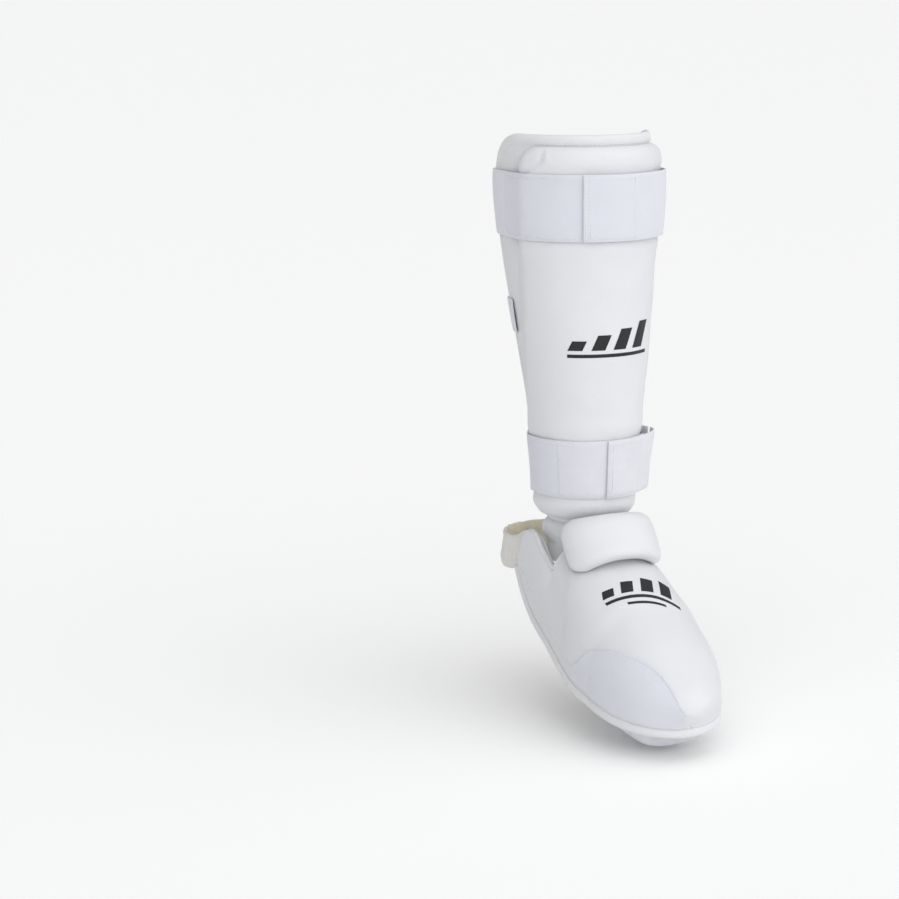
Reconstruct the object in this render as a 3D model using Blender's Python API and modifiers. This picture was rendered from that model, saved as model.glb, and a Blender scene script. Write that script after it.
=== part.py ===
"""Shin and instep guard for karate, in the shape it has when worn. Metres, +Z up the leg, toes towards -Y.

The origin is the ankle centre, on the leg's axis. The shin guard is a padded wrap held by two hook-and-loop
straps and a narrow band. Its lining holds the tongue of the instep guard, which folds at the ankle crease.
"""
import math

import bmesh
import bpy
from mathutils import Vector
from mathutils.geometry import convex_hull_2d

MM = 0.001
GAP = 0.4 * MM  # between pieces that touch on the real object
SAME_POINT = 1e-6

# Leg space inside the shin guard: a smooth tube from ankle to calf.
SHIN_LOW, SHIN_HIGH = 0.044, 0.3335
LEG_HALF_WIDTH = [(0.03, 0.0345), (0.08, 0.0370), (0.11, 0.0415), (0.18, 0.0490), (0.285, 0.0575),
                  (0.36, 0.0580)]
LEG_FRONT = [(0.03, 0.0500), (0.08, 0.0520), (0.18, 0.0560), (0.26, 0.0545), (0.36, 0.0515)]
LEG_BACK = [(0.03, 0.0350), (0.08, 0.0365), (0.18, 0.0510), (0.26, 0.0640), (0.36, 0.0650)]
LEG_TAPER = [(0.03, 0.55), (0.08, 0.55), (0.18, 0.30), (0.285, 0.10), (0.36, 0.10)]

# Layers of the shin guard, measured outwards from the leg space.
LINING = (0.0, 1.2 * MM)
BACKING = (1.6 * MM, 4.2 * MM)
PAD_EDGE, PAD_FULL = 5.8 * MM, 12.5 * MM
COVER_THICK = 1.2 * MM
WING_HALF, WING_FULL_FROM = (0.066, 0.098), 0.26  # half widths at the bottom and from this height up
PAD_HALF, PAD_FULL_FROM = (0.058, 0.0645), 0.20
PAD_MARGIN = (-1.0 * MM, 3.5 * MM)
PAD_CORNER, WING_CORNER = 0.015, 0.030
PAD_ROUND = 0.009
BINDING_RADIUS, BINDING_OUT = 2.4 * MM, 0.5 * MM
OUTLINE_STEPS = 72

# Straps: heights, the angle of each free end and root in degrees, and the stand-off at the right side.
STRAP_THICK, PANEL_THICK, HOOK_THICK, TAB_THICK = 1.5 * MM, 0.9 * MM, 0.7 * MM, 1.3 * MM
UPPER_STRAP = {"low": 0.2600, "high": 0.3100, "end": -19, "root": 72, "stand_off": 0.3 * MM}
LOWER_STRAP = {"low": 0.0615, "high": 0.1070, "end": -2, "root": 66, "stand_off": 9.0 * MM}
STAND_OFF_AT, STAND_OFF_SPREAD = 62, 18
STRAP_CLEAR = 0.2 * MM  # between a strap and the binding or the bare calf
PANEL_ENDS, ROOT_GAP = (-86, 40), 0.5
HOOK_STARTS, HOOK_ENDS, HOOK_INSET = 1.5, 34, 2.5 * MM  # degrees past the free end, and in from each edge
MIDDLE_BAND = {"low": 0.1840, "high": 0.2100, "stand_off": 0.0}
MIDDLE_ENDS, MIDDLE_THICK = (92, 268), 1.3 * MM

# Tongue between the two guards, and the fold at the ankle.
TONGUE_INSIDE, TONGUE_THICK, TONGUE_FLARE, TONGUE_SWELL = 3.6 * MM, 1.8 * MM, 4.0 * MM, 6.0 * MM
TONGUE_HIGH, TONGUE_NECK, TONGUE_LOW = 0.1150, 0.0360, 0.0060
TONGUE_HALF = 0.0500
SWELL_TOP, SWELL_TOP_RUN, SWELL_FOOT, SWELL_FOOT_RUN = 0.0415, 0.0070, 0.0180, 0.0100
PATCH_THICK = 0.6 * MM
LOOP_PATCH_HALF, LOOP_PATCH_LOW, LOOP_PATCH_HIGH = 0.030, 0.060, 0.110
HOOK_PATCH_HALF, HOOK_PATCH_LOW, HOOK_PATCH_HIGH = 0.027, 0.062, 0.100

# Instep guard. Each station is (y, value); the foot space is arched over a rim that rises towards the heel.
FOOT_RIM = [(-0.196, -0.0820), (-0.178, -0.0800), (-0.149, -0.0750), (-0.116, -0.0675), (-0.090, -0.0580),
            (-0.064, -0.0470), (-0.032, -0.0360), (-0.008, -0.0215), (0.010, -0.0040)]
FOOT_HALF = [(-0.149, 0.0430), (-0.116, 0.0480), (-0.090, 0.0475), (-0.054, 0.0445), (-0.024, 0.0415),
             (0.010, 0.0370)]
FOOT_HIGH = [(-0.1955, 0.0050), (-0.1935, 0.0110), (-0.188, 0.0185), (-0.175, 0.0295), (-0.160, 0.0405),
             (-0.140, 0.0510), (-0.122, 0.0590), (-0.090, 0.0640), (-0.054, 0.0650), (-0.030, 0.0800),
             (0.010, 0.0950)]
WING_TOP = [(-0.054, 0.0470), (-0.036, 0.0520), (-0.018, 0.0550), (-0.010, 0.0470), (0.000, 0.0250),
            (0.010, 0.0040)]
FOOT_BACK, TUNNEL_BACK, TOE_ROUND_STARTS, TOE_ROUND = 0.009, -0.0540, -0.135, 0.0605
WING_FRONT = TUNNEL_BACK + GAP
SECTION_POWER = 2.05
FOOT_LINING = 1.2 * MM
FOOT_WALL_RIM, FOOT_WALL_TOP, FOOT_WALL_RISE = 5.2 * MM, 12.0 * MM, 1.25
FOAM_RIM_TURN, WING_FOAM_INSET = 0.03, 1.5 * MM
WELT_RADIUS, WELT_OUT, WELT_DROP = 3.0 * MM, 3.6 * MM, 0.7 * MM
TOE_BAND = {"ends": (-0.172, -0.134), "depth": 0.0250}
ARCH_BAND = {"ends": (-0.126, -0.097), "depth": 0.0180}
SOLE_BAND_THICK, SOLE_BAND_SEWN, SOLE_BAND_INSIDE = 1.4 * MM, 0.008, 2.4 * MM
SOLE_BAND_WIDE, SOLE_BAND_DEEP = 0.7, 0.8  # powers that square off the sling's section


def smooth(x):
    x = min(max(x, 0.0), 1.0)
    return x * x * (3 - 2 * x)


def between(pair, share):
    return pair[0] + (pair[1] - pair[0]) * share


def through(stations, x):
    """The value at x on a smooth line through (place, value) stations."""
    x = min(max(x, stations[0][0]), stations[-1][0])
    i = max(k for k in range(len(stations) - 1) if stations[k][0] <= x)

    def slope(k):
        low, high = stations[max(k - 1, 0)], stations[min(k + 1, len(stations) - 1)]
        return (high[1] - low[1]) / (high[0] - low[0])

    (x0, v0), (x1, v1) = stations[i], stations[i + 1]
    step = x1 - x0
    t = (x - x0) / step
    return (
        v0 * (1 + 2 * t) * (1 - t) ** 2 + slope(i) * step * t * (1 - t) ** 2
        + v1 * t * t * (3 - 2 * t) + slope(i + 1) * step * t * t * (t - 1)
    )


def spread(count, low=0.0, high=1.0):
    """Places from low to high, closer together near both ends."""
    return [low + (high - low) * (1 - math.cos(math.pi * i / count)) / 2 for i in range(count + 1)]


def even(count, low, high):
    return [low + (high - low) * i / count for i in range(count + 1)]


# ---------------------------------------------------------------- materials and objects


def material(name, colour, roughness):
    made = bpy.data.materials.new(name)
    made.use_nodes = True
    shader = made.node_tree.nodes["Principled BSDF"]
    shader.inputs["Base Color"].default_value = (*colour, 1.0)
    shader.inputs["Roughness"].default_value = roughness
    shader.inputs["Metallic"].default_value = 0.0
    return made


def clear_scene():
    for old in list(bpy.data.objects):
        bpy.data.objects.remove(old)


def add(name, data, finish, collection):
    made = bpy.data.objects.new(name, data)
    made.data.materials.append(finish)
    collection.objects.link(made)
    return made


def grid_faces(rows, columns, first=0, flipped=False):
    faces = []
    for i in range(rows - 1):
        for j in range(columns - 1):
            a = first + i * columns + j
            face = (a, a + 1, a + columns + 1, a + columns)
            faces.append(face[::-1] if flipped else face)
    return faces


def joined(mesh):
    """The mesh with the two halves of a folded last row made one."""
    work = bmesh.new()
    work.from_mesh(mesh)
    bmesh.ops.remove_doubles(work, verts=work.verts, dist=SAME_POINT)
    work.to_mesh(mesh)
    work.free()


def sheet(name, rows, thickness, finish, collection):
    """A sheet through rows of points, thickened towards its outer side."""
    mesh = bpy.data.meshes.new(name)
    mesh.from_pydata([p for row in rows for p in row], [], grid_faces(len(rows), len(rows[0])))
    joined(mesh)
    mesh.shade_smooth()
    made = add(name, mesh, finish, collection)
    solidify = made.modifiers.new("thickness", "SOLIDIFY")
    solidify.thickness = thickness
    solidify.offset = 1.0
    return made


def core(name, inner, outer, finish, collection, folded=False):
    """A pad between two unlike surfaces, given as rows of points, with side walls round its edge."""
    rows, columns = len(inner), len(inner[0])
    count = rows * columns
    faces = grid_faces(rows, columns, 0, flipped=True) + grid_faces(rows, columns, count)
    edge = [j for j in range(columns)]
    edge += [i * columns + columns - 1 for i in range(1, rows)]
    edge += [(rows - 1) * columns + j for j in range(columns - 2, -1, -1)]
    edge += [i * columns for i in range(rows - 2, 0, -1)]
    last_row = (rows - 1) * columns
    for a, b in zip(edge, edge[1:] + edge[:1]):
        if not (folded and a >= last_row and b >= last_row):
            faces.append((a, b, b + count, a + count))
    mesh = bpy.data.meshes.new(name)
    mesh.from_pydata([p for row in inner + outer for p in row], [], faces)
    joined(mesh)
    mesh.shade_smooth()
    return add(name, mesh, finish, collection)


def tube(name, points, radius, finish, collection, closed=False):
    curve = bpy.data.curves.new(name, "CURVE")
    curve.dimensions = "3D"
    curve.bevel_depth = radius
    curve.bevel_resolution = 1
    curve.use_fill_caps = not closed
    line = curve.splines.new("POLY")
    line.points.add(len(points) - 1)
    for point, place in zip(line.points, points):
        point.co = (*place, 1.0)
    line.use_cyclic_u = closed
    return add(name, curve, finish, collection)


# ---------------------------------------------------------------- shin guard surfaces


def leg(z):
    """Centre y, half width, half depth and taper towards the back of the leg space at a height."""
    front, back = through(LEG_FRONT, z), through(LEG_BACK, z)
    return (back - front) / 2, through(LEG_HALF_WIDTH, z), (back + front) / 2, through(LEG_TAPER, z)


def leg_outline(z, cache={}):
    """Right half of the leg's outline at a height: arc length so far, x and y of each point."""
    if z not in cache:
        centre, half_width, half_depth, taper = leg(z)
        made = []
        for t in even(OUTLINE_STEPS, 0.0, math.pi):
            x = half_width * math.sin(t) * (1 - taper * (1 - math.cos(t)) / 2)
            y = centre - half_depth * math.cos(t)
            arc = made[-1][0] + math.hypot(x - made[-1][1], y - made[-1][2]) if made else 0.0
            made.append((arc, x, y))
        cache[z] = made
    return cache[z]


def leg_point(arc, z, offset):
    """A point on the wrap: arc metres round from the front line, at a height, offset out from the leg."""
    outline = leg_outline(z)
    reach = min(abs(arc), outline[-1][0] - SAME_POINT)
    i = max(k for k in range(len(outline) - 1) if outline[k][0] <= reach)
    share = (reach - outline[i][0]) / (outline[i + 1][0] - outline[i][0])

    def normal(k):
        low, high = outline[max(k - 1, 0)], outline[min(k + 1, OUTLINE_STEPS)]
        turned = Vector((high[2] - low[2], low[1] - high[1]))
        return Vector((0.0, -1.0)) if k == 0 else turned.normalized()

    out = normal(i).lerp(normal(i + 1), share).normalized()
    x = between((outline[i][1], outline[i + 1][1]), share) + offset * out.x
    y = between((outline[i][2], outline[i + 1][2]), share) + offset * out.y
    return Vector((math.copysign(x, arc) if arc else 0.0, y, z))


def leg_reach(z):
    """Arc length from the front line to the back line."""
    return leg_outline(z)[-1][0]


def outline_half(z, low, high, half, corner):
    """Half the arc width of a round-cornered panel at a height."""
    near = min(z - low, high - z)
    if near >= corner:
        return half
    return half - corner + math.sqrt(max(corner**2 - (corner - near) ** 2, 0.0))


def wing_half(z):
    half = between(WING_HALF, smooth((z - SHIN_LOW) / (WING_FULL_FROM - SHIN_LOW)))
    return outline_half(z, SHIN_LOW, SHIN_HIGH, half, WING_CORNER)


PAD_LOW, PAD_HIGH = SHIN_LOW + PAD_MARGIN[0], SHIN_HIGH - PAD_MARGIN[1]


def pad_width(z):
    return between(PAD_HALF, smooth((z - PAD_LOW) / (PAD_FULL_FROM - PAD_LOW)))


def pad_half(z):
    return outline_half(z, PAD_LOW, PAD_HIGH, pad_width(z), PAD_CORNER)


def rounding(distance, radius):
    return math.sqrt(1 - (1 - min(max(distance / radius, 0.0), 1.0)) ** 2)


def pad_thickness(arc, z):
    """Outer face of the padded cover: full in the middle, rounded down to its sewn edge."""
    side = rounding(pad_half(z) - abs(arc), PAD_ROUND)
    end = rounding(min(z - PAD_LOW, PAD_HIGH - z), PAD_ROUND)
    return PAD_EDGE + (PAD_FULL - PAD_EDGE) * side * end


def wrap_grid(low, high, half, rows, columns):
    """Rows of (arc, height) places over a panel of the wrap, closer together near its edges."""
    turns = [math.sin(math.pi / 2 * u) for u in even(columns, -1, 1)]
    return [[(half(z) * turn, z) for turn in turns] for z in spread(rows, low, high)]


def raised(grid, offset):
    """Points over those places. offset is a number or a function of arc and height."""
    return [[leg_point(s, z, offset(s, z) if callable(offset) else offset) for s, z in row] for row in grid]


def outline_of(grid, offset, grow):
    """Closed line round a panel's edge, grow metres outside it."""
    edge = grid[0] + [row[-1] for row in grid[1:-1]] + grid[-1][::-1] + [row[0] for row in grid[-2:0:-1]]
    places = [Vector(place) for place in edge]
    made = []
    for i, place in enumerate(places):
        along = (places[(i + 1) % len(places)] - places[i - 1]).normalized()
        made.append(leg_point(place.x + grow * along.y, place.y - grow * along.x, offset))
    return made


def strap_radius(z, angle, stand_off, cache={}):
    """How far a tight strap lies from the leg's centre line: round the outside of pad, wings and calf."""
    centre = leg(z)[0]
    if z not in cache:
        pad = [leg_point(s, z, pad_thickness(s, z) + GAP) for s in even(60, -pad_half(z), pad_half(z))]
        edge = wing_half(z) + 2 * BINDING_RADIUS
        bound = (LINING[0] + BACKING[1]) / 2 + BINDING_RADIUS + STRAP_CLEAR
        wings = [leg_point(s, z, bound) for s in even(40, -edge, edge)]
        reach = leg_reach(z)
        calf = [leg_point(s, z, STRAP_CLEAR) for s in even(60, -reach, reach)]
        places = [(p.x, p.y - centre) for p in pad + wings + calf]
        cache[z] = [places[i] for i in convex_hull_2d(places)]
    hull = cache[z]
    direction = (math.sin(angle), -math.cos(angle))
    radius = 0.0
    for (x0, y0), (x1, y1) in zip(hull, hull[1:] + hull[:1]):
        ex, ey = x1 - x0, y1 - y0
        cross = direction[0] * ey - direction[1] * ex
        if abs(cross) < 1e-12:
            continue
        along = (x0 * ey - y0 * ex) / cross
        share = (x0 * direction[1] - y0 * direction[0]) / cross
        if along > 0 and -1e-6 <= share <= 1 + 1e-6:
            radius = max(radius, along)
    bump = math.exp(-(((math.degrees(angle) - STAND_OFF_AT) / STAND_OFF_SPREAD) ** 2))
    return radius + stand_off * bump


def strap_piece(name, strap, ends, offset, thickness, finish, collection, columns, rows=4, inset=0.0):
    """A stretch of strap between two angles in degrees from the front, going round by the right side."""
    made = []
    for z in even(rows, strap["low"] + inset, strap["high"] - inset):
        centre = leg(z)[0]
        row = []
        for degrees in even(columns, *ends):
            angle = math.radians(degrees)
            radius = strap_radius(z, angle, strap["stand_off"]) + offset
            row.append(Vector((radius * math.sin(angle), centre - radius * math.cos(angle), z)))
        made.append(row)
    return sheet(name, made, thickness, finish, collection)


# ---------------------------------------------------------------- instep guard surfaces


def power(value, exponent):
    return math.copysign(abs(value) ** exponent, value)


def foot_section(y, offset):
    """Half width and height of the foot space at a station, and the station itself, each grown by offset."""
    high = through(FOOT_HIGH, y) + offset
    if y >= TOE_ROUND_STARTS:
        return through(FOOT_HALF, y) + offset, high, y
    turn = math.asin(min((TOE_ROUND_STARTS - y) / TOE_ROUND, 1.0))
    half = (through(FOOT_HALF, TOE_ROUND_STARTS) + offset) * math.cos(turn)
    return (half if half > 1e-6 else 0.0), high, TOE_ROUND_STARTS - (TOE_ROUND + offset) * math.sin(turn)


def foot_wall(turn):
    """Wall of the instep guard: thin at the rim, full over the top of the foot."""
    return FOOT_WALL_RIM + (FOOT_WALL_TOP - FOOT_WALL_RIM) * smooth(math.sin(turn) * FOOT_WALL_RISE)


def foot_point(y, turn, offset):
    """A point of the arch over the foot. turn runs from 0 at the right rim to pi at the left rim."""
    half, high, station = foot_section(y, offset)
    exponent = 2 / SECTION_POWER
    x = half * power(math.cos(turn), exponent)
    z = through(FOOT_RIM, y) + high * power(math.sin(turn), exponent)
    return Vector((x, station, z))


TOE_STEPS = 9


def tunnel_stations(rows):
    body = even(rows, TUNNEL_BACK, TOE_ROUND_STARTS)
    turns = [math.pi / 2 * i / TOE_STEPS for i in range(1, TOE_STEPS + 1)]
    toe = [TOE_ROUND_STARTS - TOE_ROUND * math.sin(t) for t in turns]
    return body + toe


def tunnel_rows(offset, columns=24, rows=9, rim=0.0):
    """Rows over the foot from ankle to toe. rim leaves out that much of the turn at each side."""
    made = []
    for y in tunnel_stations(rows):
        turns = even(columns, rim, math.pi - rim)
        made.append([foot_point(y, t, offset(t) if callable(offset) else offset) for t in turns])
    return made


def wing_rows(side, offset, columns=6, rows=9, edge=0.0):
    """Rows over one side wing, from the tunnel back to the heel, rim to free edge."""
    made = []
    for y in even(rows, WING_FRONT + edge, FOOT_BACK - edge):
        _, high, _ = foot_section(y, offset)
        top = math.asin(((through(WING_TOP, y) - edge) / high) ** (SECTION_POWER / 2))
        turns = even(columns, 0.0, top)
        row = [foot_point(y, t if side > 0 else math.pi - t, offset) for t in turns]
        made.append(row)
    return made if side < 0 else made[::-1]


def rim_line(offset, drop, steps=10):
    """The line under the rim from the left heel end round the toe to the right heel end."""
    stations = even(steps, FOOT_BACK, TOE_ROUND_STARTS)
    stations += tunnel_stations(steps)[steps + 1 :]
    right = []
    for y in stations:
        half, _, station = foot_section(y, offset)
        slope = (through(FOOT_RIM, y + MM) - through(FOOT_RIM, y - MM)) / (2 * MM)
        down = Vector((0.0, slope, -1.0)).normalized() * drop
        right.append(Vector((half, station + down.y, through(FOOT_RIM, y) + down.z)))
    left = [Vector((-p.x, p.y, p.z)) for p in right[:-1]]
    return left + right[::-1]


def sole_band(name, band, finish, collection):
    """An elastic band sewn inside the lower edge on both sides and slung under the sole."""
    rows = []
    for y in even(4, *band["ends"]):
        half, _, station = foot_section(y, -GAP - SOLE_BAND_INSIDE)
        row = []
        for angle in even(20, math.pi, 0.0):
            x = half * power(math.cos(angle), SOLE_BAND_WIDE)
            hang = (band["depth"] + SOLE_BAND_SEWN) * power(math.sin(angle), SOLE_BAND_DEEP)
            row.append(Vector((x, station, through(FOOT_RIM, y) + SOLE_BAND_SEWN - hang)))
        rows.append(row)
    return sheet(name, rows, SOLE_BAND_THICK, finish, collection)


HEEL_BAND_HALF, HEEL_BAND_THICK = 0.0140, 3.0 * MM
HEEL_END_SHARE = 0.60  # of the band's width, where it is gathered into each wing
HEEL_GATHER_RUN = 0.30  # of the way round to the back
HEEL_PATH = [(0.00, 0.0290, -0.0120, 0.0125), (0.14, 0.0293, -0.0050, 0.0120), (0.24, 0.0300, 0.0020, 0.0105),
             (0.32, 0.0325, 0.0120, 0.0080), (0.42, 0.0365, 0.0205, 0.0030), (0.60, 0.0370, 0.0370, 0.0010),
             (0.80, 0.0240, 0.0580, 0.0010), (1.00, 0.0000, 0.0650, 0.0010)]


def heel_band(name, finish, collection, columns=17):
    """A loop of elastic from inside one wing, round behind the heel, to inside the other."""
    shares = even(columns, 0.0, 1.0)
    half = [[through([(q[0], q[k]) for q in HEEL_PATH], u) for k in (1, 2, 3)] for u in shares]
    widths = [between((HEEL_END_SHARE, 1.0), smooth(u / HEEL_GATHER_RUN)) for u in shares]
    half = [[*place, width] for place, width in zip(half, widths)]
    path = half + [[-x, y, z, share] for x, y, z, share in reversed(half[:-1])]
    rows = []
    for rise in even(3, -HEEL_BAND_HALF, HEEL_BAND_HALF):
        rows.append([Vector((x, y, z + rise * share)) for x, y, z, share in path])
    return sheet(name, rows, HEEL_BAND_THICK, finish, collection)


# ---------------------------------------------------------------- ankle pad and toe panel

ANKLE_PAD = {
    "radius": 0.0440, "half_angle": 54, "tilt": math.radians(24), "thick": 11.0 * MM, "edge": 2.2 * MM,
    "low": Vector((0.0, -0.0960, 0.0205)), "middle": Vector((0.0, -0.0820, 0.0345)),
    "high": Vector((0.0, -0.0695, 0.0500)), "ear": 8.0 * MM, "ear_power": 2.2,
    "narrows": 0.10, "corner_cut": 0.16, "foam_out": 0.6 * MM, "foam_inset": 0.08,
}


def ankle_point(arc, rise, offset):
    """A point of the ankle pad: arc and rise run from -1 to 1, offset goes out from its inner face."""
    pad = ANKLE_PAD
    share = (rise + 1) / 2
    low, middle, high = pad["low"], pad["middle"], pad["high"]
    front = low * (1 - share) ** 2 + middle * 2 * share * (1 - share) + high * share**2
    half = math.radians(pad["half_angle"]) * (1 - pad["narrows"] * rise**4)
    angle = arc * half
    radius = pad["radius"] + offset
    back = Vector((0.0, math.cos(pad["tilt"]), -math.sin(pad["tilt"])))
    drop = pad["ear"] * abs(arc) ** pad["ear_power"] * (1 - share)
    sideways = Vector((radius * math.sin(angle), 0.0, -drop))
    return front + back * (pad["radius"] - radius * math.cos(angle)) + sideways


def ankle_rows(offset, inset=0.0, rows=10, columns=20):
    made = []
    for rise in spread(rows, -1 + inset, 1 - inset):
        width = (1 - inset) * (1 - ANKLE_PAD["corner_cut"] * abs(rise) ** 5)
        made.append([ankle_point(s, rise, offset(s / width, rise)) for s in spread(columns, -width, width)])
    return made


def ankle_thickness(less):
    """The pad's outer face, less so much, rounded down towards its edge."""

    def thickness(arc, rise):
        pad = ANKLE_PAD
        round_arc = (1 - abs(arc) ** 5) ** 0.5
        round_rise = (1 - abs(rise) ** 4) ** 0.5
        return pad["edge"] + (pad["thick"] - pad["edge"]) * round_arc * round_rise - less

    return thickness


TOE_PANEL_STARTS, TOE_PANEL_ENDS = -0.1160, -0.1935
TOE_PANEL_OUT, TOE_PANEL_THICK = 1.3 * MM, 0.6 * MM
TOE_PANEL_RIM = 177  # degrees of turn, just short of the rim
# Degrees of turn at which the panel's upper seam lies, by station.
TOE_SEAM = [(-0.1950, 146), (-0.1930, 132), (-0.1900, 122), (-0.1840, 115), (-0.1766, 114), (-0.1680, 118),
            (-0.1580, 126), (-0.1460, 136), (-0.1380, 143), (-0.1300, 150), (-0.1220, 160), (-0.1100, 172)]


def toe_panel_rows(offset, rows=10, columns=12):
    """A round-backed patch over the left of the toes, from a curved seam down to the rim."""
    made = []
    for y in spread(rows, TOE_PANEL_STARTS, TOE_PANEL_ENDS):
        turns = even(columns, math.radians(through(TOE_SEAM, y)), math.radians(TOE_PANEL_RIM))
        made.append([foot_point(y, t, foot_wall(t) + offset) for t in turns])
    return made


# ---------------------------------------------------------------- building


def build_shin(parts, looks):
    wings = wrap_grid(SHIN_LOW, SHIN_HIGH, wing_half, 16, 26)
    sheet("shin_lining", raised(wings, LINING[0]), LINING[1], looks["lining"], parts)
    sheet("shin_backing", raised(wings, BACKING[0]), BACKING[1] - BACKING[0], looks["cover"], parts)
    middle = (LINING[0] + BACKING[1]) / 2
    edge = outline_of(wings, middle, BINDING_RADIUS + BINDING_OUT)
    tube("shin_edge_binding", edge, BINDING_RADIUS, looks["binding"], parts, True)
    pad = wrap_grid(PAD_LOW, PAD_HIGH, pad_half, 20, 28)
    inside = [row[1:-1] for row in pad[1:-1]]
    core("shin_foam", raised(inside, BACKING[1] + GAP),
         raised(inside, lambda s, z: max(pad_thickness(s, z) - COVER_THICK - GAP, BACKING[1] + 2 * GAP)),
         looks["foam"], parts)
    cover = raised(pad, lambda s, z: pad_thickness(s, z) - COVER_THICK)
    sheet("shin_cover", cover, COVER_THICK, looks["cover"], parts)


def build_straps(parts, looks):
    for place, strap in (("upper", UPPER_STRAP), ("lower", LOWER_STRAP)):
        root, end = strap["root"], strap["end"]
        behind = (root + ROOT_GAP, 360 + PANEL_ENDS[0] - ROOT_GAP)
        strap_piece(f"{place}_strap_band", strap, behind, GAP, STRAP_THICK, looks["elastic"], parts, 30)
        strap_piece(f"{place}_loop_panel", strap, PANEL_ENDS, GAP, PANEL_THICK, looks["loop"], parts, 18)
        hook = 2 * GAP + PANEL_THICK
        span = (end + HOOK_STARTS, end + HOOK_ENDS)
        strap_piece(f"{place}_hook_patch", strap, span, hook, HOOK_THICK, looks["hook"], parts, 6,
                    inset=HOOK_INSET)
        tab = hook + HOOK_THICK + GAP
        strap_piece(f"{place}_strap_tab", strap, (end, root), tab, TAB_THICK, looks["elastic"], parts, 14)
    strap_piece("middle_calf_band", MIDDLE_BAND, MIDDLE_ENDS, GAP, MIDDLE_THICK, looks["elastic"], parts, 22,
                rows=2)


def tongue_rows(out, half, low, high, rows, columns):
    """Rows over the tongue, straight inside the shin guard and flared below it to meet the instep guard."""
    made = []
    for z in even(rows, low, high):
        flare = TONGUE_FLARE * smooth((TONGUE_NECK - z) / (TONGUE_NECK - TONGUE_LOW))
        swell = TONGUE_SWELL * smooth((SWELL_TOP - z) / SWELL_TOP_RUN)
        swell *= smooth((z - SWELL_FOOT) / SWELL_FOOT_RUN)
        row = []
        for s in even(columns, -half, half):
            stand = flare + swell * (s / TONGUE_HALF) ** 2
            row.append(leg_point(s, SHIN_LOW, out - TONGUE_INSIDE + stand))
        made.append([Vector((p.x, p.y, z)) for p in row])
    return made


def build_tongue(parts, looks):
    body = tongue_rows(0.0, TONGUE_HALF, TONGUE_LOW, TONGUE_HIGH, 20, 20)
    sheet("tongue", body, TONGUE_THICK, looks["cover"], parts)
    patch = tongue_rows(TONGUE_THICK + GAP, LOOP_PATCH_HALF, LOOP_PATCH_LOW, LOOP_PATCH_HIGH, 4, 12)
    sheet("tongue_loop_patch", patch, PATCH_THICK, looks["loop"], parts)
    under = wrap_grid(HOOK_PATCH_LOW, HOOK_PATCH_HIGH, lambda z: HOOK_PATCH_HALF, 4, 12)
    sheet("shin_hook_patch", raised(under, -PATCH_THICK - GAP), PATCH_THICK, looks["hook"], parts)


def build_instep(parts, looks):
    sheet("instep_lining", tunnel_rows(0.0), FOOT_LINING, looks["lining"], parts)
    core("instep_foam", tunnel_rows(FOOT_LINING + GAP, rim=FOAM_RIM_TURN),
         tunnel_rows(lambda t: foot_wall(t) - COVER_THICK - GAP, rim=FOAM_RIM_TURN), looks["foam"], parts,
         folded=True)
    cover = tunnel_rows(lambda t: foot_wall(t) - COVER_THICK)
    sheet("instep_cover", cover, COVER_THICK, looks["cover"], parts)
    sheet("toe_panel", toe_panel_rows(TOE_PANEL_OUT), TOE_PANEL_THICK, looks["loop"], parts)
    for side, name in ((-1, "left"), (1, "right")):
        foam_in, foam_out = GAP, FOOT_WALL_RIM - COVER_THICK - GAP
        inner, outer = (wing_rows(side, place, edge=WING_FOAM_INSET) for place in (foam_in, foam_out))
        core(f"{name}_wing_foam", inner, outer, looks["foam"], parts)
        cover = wing_rows(side, FOOT_WALL_RIM - COVER_THICK)
        sheet(f"{name}_wing_cover", cover, COVER_THICK, looks["cover"], parts)
    tube("rim_welt", rim_line(WELT_OUT, WELT_RADIUS + WELT_DROP), WELT_RADIUS, looks["binding"], parts)
    sole_band("toe_band", TOE_BAND, looks["elastic"], parts)
    sole_band("arch_band", ARCH_BAND, looks["elastic"], parts)
    foam_faces = (lambda s, r: ANKLE_PAD["foam_out"], ankle_thickness(COVER_THICK + 2 * GAP))
    inner, outer = (ankle_rows(face, ANKLE_PAD["foam_inset"], 9, 18) for face in foam_faces)
    core("ankle_pad_foam", inner, outer, looks["foam"], parts)
    sheet("ankle_pad_cover", ankle_rows(ankle_thickness(COVER_THICK)), COVER_THICK, looks["cover"], parts)


def main():
    clear_scene()
    parts = bpy.data.collections.new("shin_and_instep_guard")
    bpy.context.scene.collection.children.link(parts)
    looks = {
        "cover": material("cover", (0.86, 0.87, 0.89), 0.5),
        "lining": material("lining", (0.80, 0.80, 0.79), 0.9),
        "foam": material("foam", (0.90, 0.88, 0.80), 0.95),
        "binding": material("binding", (0.84, 0.84, 0.85), 0.8),
        "elastic": material("elastic", (0.84, 0.85, 0.88), 0.85),
        "loop": material("loop", (0.78, 0.79, 0.87), 0.95),
        "hook": material("hook", (0.85, 0.85, 0.86), 0.6),
    }
    build_shin(parts, looks)
    build_straps(parts, looks)
    build_tongue(parts, looks)
    build_instep(parts, looks)
    heel_band("heel_band", looks["elastic"], parts)


main()
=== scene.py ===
"""Looks of the shin and instep guard: stitched leatherette, webbing and elastic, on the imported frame."""

import math

import bmesh
import bpy
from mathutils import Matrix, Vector, noise
from mathutils.geometry import convex_hull_2d


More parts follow.
